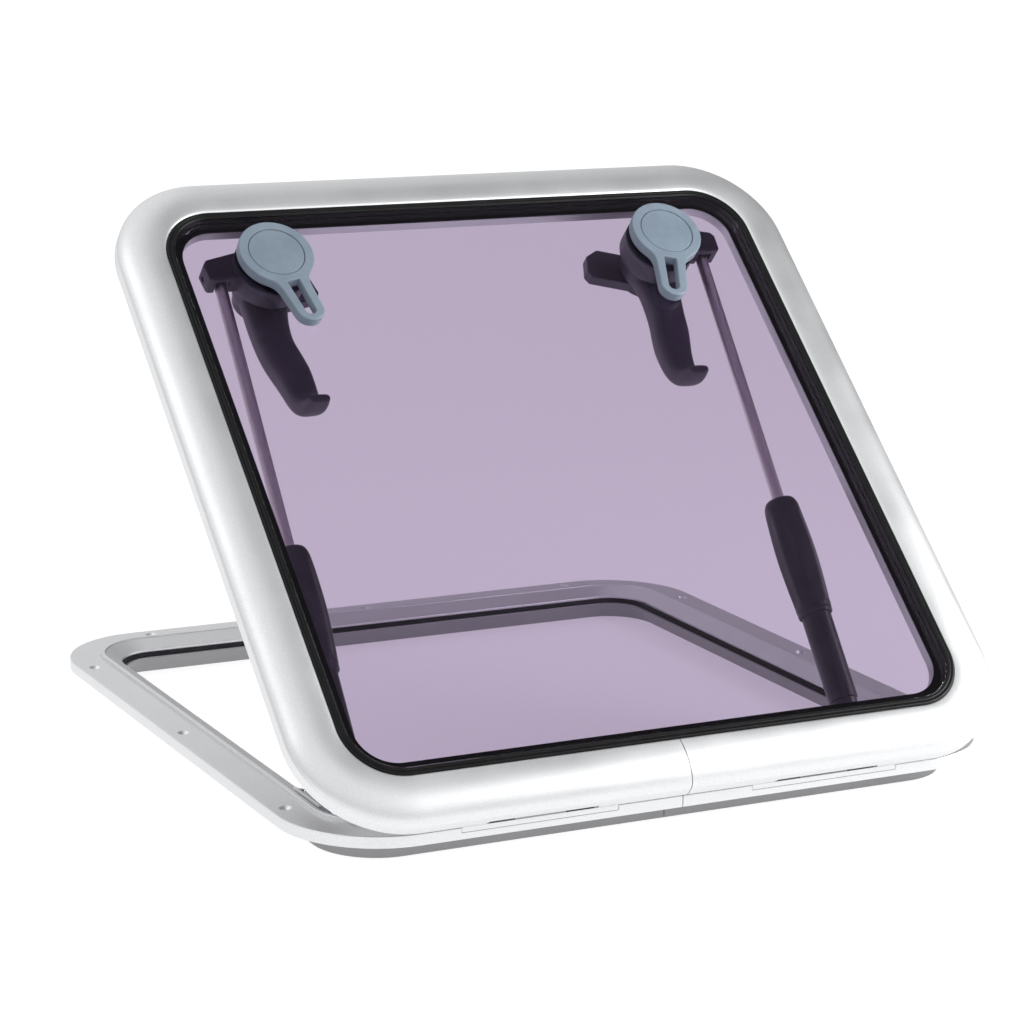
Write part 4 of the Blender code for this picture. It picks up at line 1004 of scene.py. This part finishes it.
def make_tube(side, sign):
    inside = 10
    floor = TUBE_LOW + 6
    profile = [(inside, TUBE_HIGH), (11, TUBE_HIGH), (11.4, TUBE_HIGH - 0.25)]
    profile += [(TUBE_RADIUS, TUBE_HIGH - 0.8), (TUBE_RADIUS, 46), (11.35, 45.6), (11.35, 44.8)]
    profile += [(TUBE_RADIUS, 44.4), (TUBE_RADIUS, TUBE_LOW + 0.5), (11.3, TUBE_LOW), (0, TUBE_LOW)]
    tube = turned("tube", profile, 64)
    hollow = [(0, TUBE_HIGH + 1), (inside, TUBE_HIGH + 1), (inside, floor), (0, floor)]
    cut(tube, turned("hollow", hollow, 64))
    place = stay_place(side)
    piece(tube, f"stay_tube_{side}", "stay_nylon", f"tube_{side}", place)
    make_foot(side, place)
    profile = [(0, 7.2), (3.9, 7.2), (4.4, 6.9), (4.6, 6.4), (4.6, 5.6), (3, 5.6), (3, -5.3), (2.7, -5.6)]
    pin = turned("foot_pin", [*profile, (0, -5.6)], 40)
    transform(pin, Matrix.Rotation(-sign * math.pi / 2, 4, "Y"))
    piece(pin, f"stay_foot_pin_{side}", "steel", f"tube_{side}", place)
    low = TUBE_HIGH + 0.3
    profile = [(5.1, low + 4.8), (8.2, low + 4.8), (10.4, low + 2), (10.4, low), (5.1, low)]
    collet = turned("collet", profile, 48)
    cut(collet, block("slit", (-0.5, 0, low - 1), (0.5, 20, low + 10)))
    piece(collet, f"stay_collet_{side}", "stay_nylon", f"tube_{side}", place)


def make_foot(side, place):
    top = TUBE_LOW - 0.3
    profile = [(0, top), (10.2, top), (10.2, top - 4.4), (9.6, top - 5.4), (6.4, top - 8.4)]
    foot = turned("foot", [*profile, (5.6, top - 9), (0, top - 9)], 64)
    shank = block("shank", (-4.6, -6, 1), (4.6, 6, top - 6))
    eye = turned("eye", [(0, 5), (7.4, 5), (8, 4.4), (8, -4.4), (7.4, -5), (0, -5)], 48)
    transform(eye, Matrix.Rotation(math.pi / 2, 4, "Y"))
    join(foot, shank, eye)
    cut(foot, bar("bore", FOOT_PIN_BORE, (-30, 0, 0), (30, 0, 0), 32))
    soften(foot, 0.4, 2, 50)
    piece(foot, f"stay_foot_{side}", "stay_nylon", f"tube_{side}", place)


def grip_radius(radius, height, angle):
    """Eight broad hollows run along the grip between rounded ribs, and fade out at both ends."""
    share = (height - GRIP_LOW) / (GRIP_HIGH - GRIP_LOW)
    if radius < FLUTED_FROM or not 0 < share < 1:
        return radius
    fade = min(1, max(0, (share - 0.07) / 0.05)) * min(1, max(0, (0.93 - share) / 0.12))
    hollow = (0.5 + 0.5 * math.cos(FLUTES * angle)) ** 0.7
    return radius - FLUTE_DEPTH * fade * hollow


def make_grip(side):
    # rows of share of the length and radius, from the top down
    shape = ((1.0, 6.6), (0.999, 8.6), (0.992, 10.4), (0.975, 11.9), (0.95, 13.0), (0.915, 13.8))
    shape += ((0.84, 14.5), (0.7, 15.3), (0.52, 15.8), (0.36, 15.5), (0.22, 14.8), (0.1, 14.1))
    shape += ((0.055, 13.8), (0.05, 13.2), (0.04, 13.1), (0.035, 13.6), (0.01, 13.5), (0.0, 12.9))
    span = GRIP_HIGH - GRIP_LOW
    outer = [(radius, GRIP_LOW + share * span) for share, radius in smooth_through(shape, 5)]
    step = TUBE_HIGH + 5.6
    bore = [(11.9, GRIP_LOW), (11.9, step), (5.25, step), (5.25, GRIP_HIGH)]
    grip = turned("grip", outer + bore, 128, grip_radius)
    piece(grip, f"stay_grip_{side}", "stay_nylon", f"grip_{side}", stay_place(side), 50)


PLATE_TOP = 2.75  # over the slope
SCREW_X = 243.8
STAND = Matrix(((1, 0, 0, 0), (0, 0, -1, 0), (0, 1, 0, 0), (0, 0, 0, 1)))  # from XY to XZ


def make_bracket(side, sign):
    """An angle whose plate lies on the rail's slope, with a cheek beside the stay's foot."""
    foot, low = SLOPE_FOOT
    rise = (SLOPE_HEAD[1] - low) / (SLOPE_HEAD[0] - foot)
    end = 249.0
    high = low + rise * (end - foot)
    section = rounded(
        [
            (end, high + 0.35, 0.3),
            (end, high + PLATE_TOP, 0.6),
            (foot, low + PLATE_TOP, 3),
            (218.3, 4.6, 1.5),
            (216.3, 2.6, 1.0),
            (216.3, -10, 0.8),
            (219.3, -10, 0.8),
            (219.3, 1.4, 0.8),
            (231, 1.5, 1.0),
            (234.4, 4.4, 0.8),
            (foot, low + 0.35, 1.0),
        ]
    )
    arm = plate("arm", [section], -12, 33, 0.3, 2)
    transform(arm, STAND)
    cut(arm, bar("bore", FOOT_PIN_BORE, (210, 0, -3.5), (225, 0, -3.5), 32))
    slope = math.atan(rise)
    for number, along in enumerate((-26, 7), 1):
        spot = Vector((SCREW_X, along, low + PLATE_TOP + rise * (SCREW_X - foot)))
        turn = Matrix.Translation(spot) @ Matrix.Rotation(-slope, 4, "Y")
        hole = transform(turned("hole", [(0, 3), (1.5, 3), (1.5, -5.4), (0, -5.4)], 32), turn)
        cut(arm, hole)
        head = [(0, 1.2), (1.3, 1.15), (2.1, 0.9), (2.6, 0.3), (1.2, 0.3), (1.2, -5), (0, -5)]
        screw = turned("screw", head, 40)
        cut(screw, block("slot", (-1.7, -0.3, 0.75), (1.7, 0.3, 2)))
        transform(screw, Matrix.Translation((0, STAY_FOOT_Y, 0)) @ turn)
        mirrored(screw, -sign)
        piece(screw, f"stay_bracket_screw_{side}_{number}", "steel", "base", DECK)
    transform(arm, Matrix.Translation((0, STAY_FOOT_Y, 0)))
    mirrored(arm, -sign)
    piece(arm, f"stay_bracket_{side}", "base_aluminium", "base", DECK)


# ---- Stage -----------------------------------------------------------------------------------------------

FLOOR_REACH = 60.0
FLOOR_GAP = 0.0005


def make_floor():
    work = bmesh.new()
    bmesh.ops.create_circle(work, cap_ends=True, segments=64, radius=FLOOR_REACH)
    floor = finished("floor", work)
    floor.location.z = -FLOOR_GAP
    nodes = Nodes("floor")
    nodes.set(base_color=(0.3, 0.3, 0.3, 1), roughness=0.9, specular_ior_level=0.1)
    nodes.set(emission_color=(1, 1, 1, 1), emission_strength=0.86)
    floor.data.materials.append(nodes.material)


DARK_PATCH = Vector((0.47, -0.12, 0.87)).normalized()
DIM_SIDE = Vector((0.86, 0.32, 0.38)).normalized()


def make_world():
    """An even studio, dimmer at the horizon, with the dark patch of ceiling that the pane mirrors."""
    world = bpy.data.worlds.new("studio")
    world.use_nodes = True
    nodes = world.node_tree.nodes
    links = world.node_tree.links
    place = nodes.new("ShaderNodeTexCoord").outputs["Generated"]

    def level(direction, start, end, first, last):
        """A brightness that changes with the direction's nearness to another one."""
        toward = nodes.new("ShaderNodeVectorMath")
        toward.operation = "DOT_PRODUCT"
        toward.inputs[1].default_value = direction
        links.new(place, toward.inputs[0])
        fade = nodes.new("ShaderNodeMapRange")
        fade.interpolation_type = "SMOOTHSTEP"
        for name, value in (("From Min", start), ("From Max", end), ("To Min", first), ("To Max", last)):
            fade.inputs[name].default_value = value
        links.new(toward.outputs["Value"], fade.inputs["Value"])
        return fade.outputs["Result"]

    strength = level(DARK_PATCH, start=0.935, end=0.975, first=0.9, last=0.09)
    horizon = level((0, 0, 1), start=0.10, end=0.34, first=0.38, last=1.0)
    side = level(DIM_SIDE, start=0.72, end=0.95, first=1.0, last=0.3)
    for other in (horizon, side):
        product = nodes.new("ShaderNodeMath")
        product.operation = "MULTIPLY"
        links.new(strength, product.inputs[0])
        links.new(other, product.inputs[1])
        strength = product.outputs["Value"]
    links.new(strength, nodes["Background"].inputs["Strength"])
    nodes["Background"].inputs["Color"].default_value = (1, 1, 1, 1)
    bpy.context.scene.world = world


def softbox(name, place, target, size, power):
    """A rectangular light in metres and watts, aimed at the target."""
    data = bpy.data.lights.new(name, "AREA")
    data.shape = "RECTANGLE"
    data.size, data.size_y = size
    data.energy = power
    light = bpy.data.objects.new(name, data)
    light.location = place
    aim = Vector(target) - Vector(place)
    light.rotation_euler = aim.to_track_quat("-Z", "Y").to_euler()
    bpy.context.scene.collection.objects.link(light)


def make_lights():
    softbox("right_softbox", (1.0, -0.55, 0.45), (0.1, -0.1, 0.15), (0.6, 0.5), 5)
    softbox("front_softbox", (1.15, -0.85, 0.85), (0.1, -0.2, 0.15), (0.5, 0.4), 9)
    softbox("left_softbox", (-1.5, 0.1, 1.8), (-0.2, 0, 0.2), (1.0, 1.0), 4)


make_base_frame()
make_base_seal()
make_lid_frame()
make_glazing()
make_pane()
for hand, way in SIDES:
    make_hinge_screws(hand, way)
    make_base_leaf(hand, way)
    make_lid_leaf(hand, way)
    make_hinge_pin(hand, way)
    make_lever(hand, way)
    make_spindle(hand, way)
    make_housing(hand, way)
    make_handle(hand, way)
    make_tongue(hand, way)
    make_handle_screw(hand, way)
    make_rod(hand)
    make_upper_pin(hand, way)
    make_tube(hand, way)
    make_grip(hand)
    make_bracket(hand, way)
make_floor()
make_world()
make_lights()
bpy.context.scene.view_settings.view_transform = "Standard"
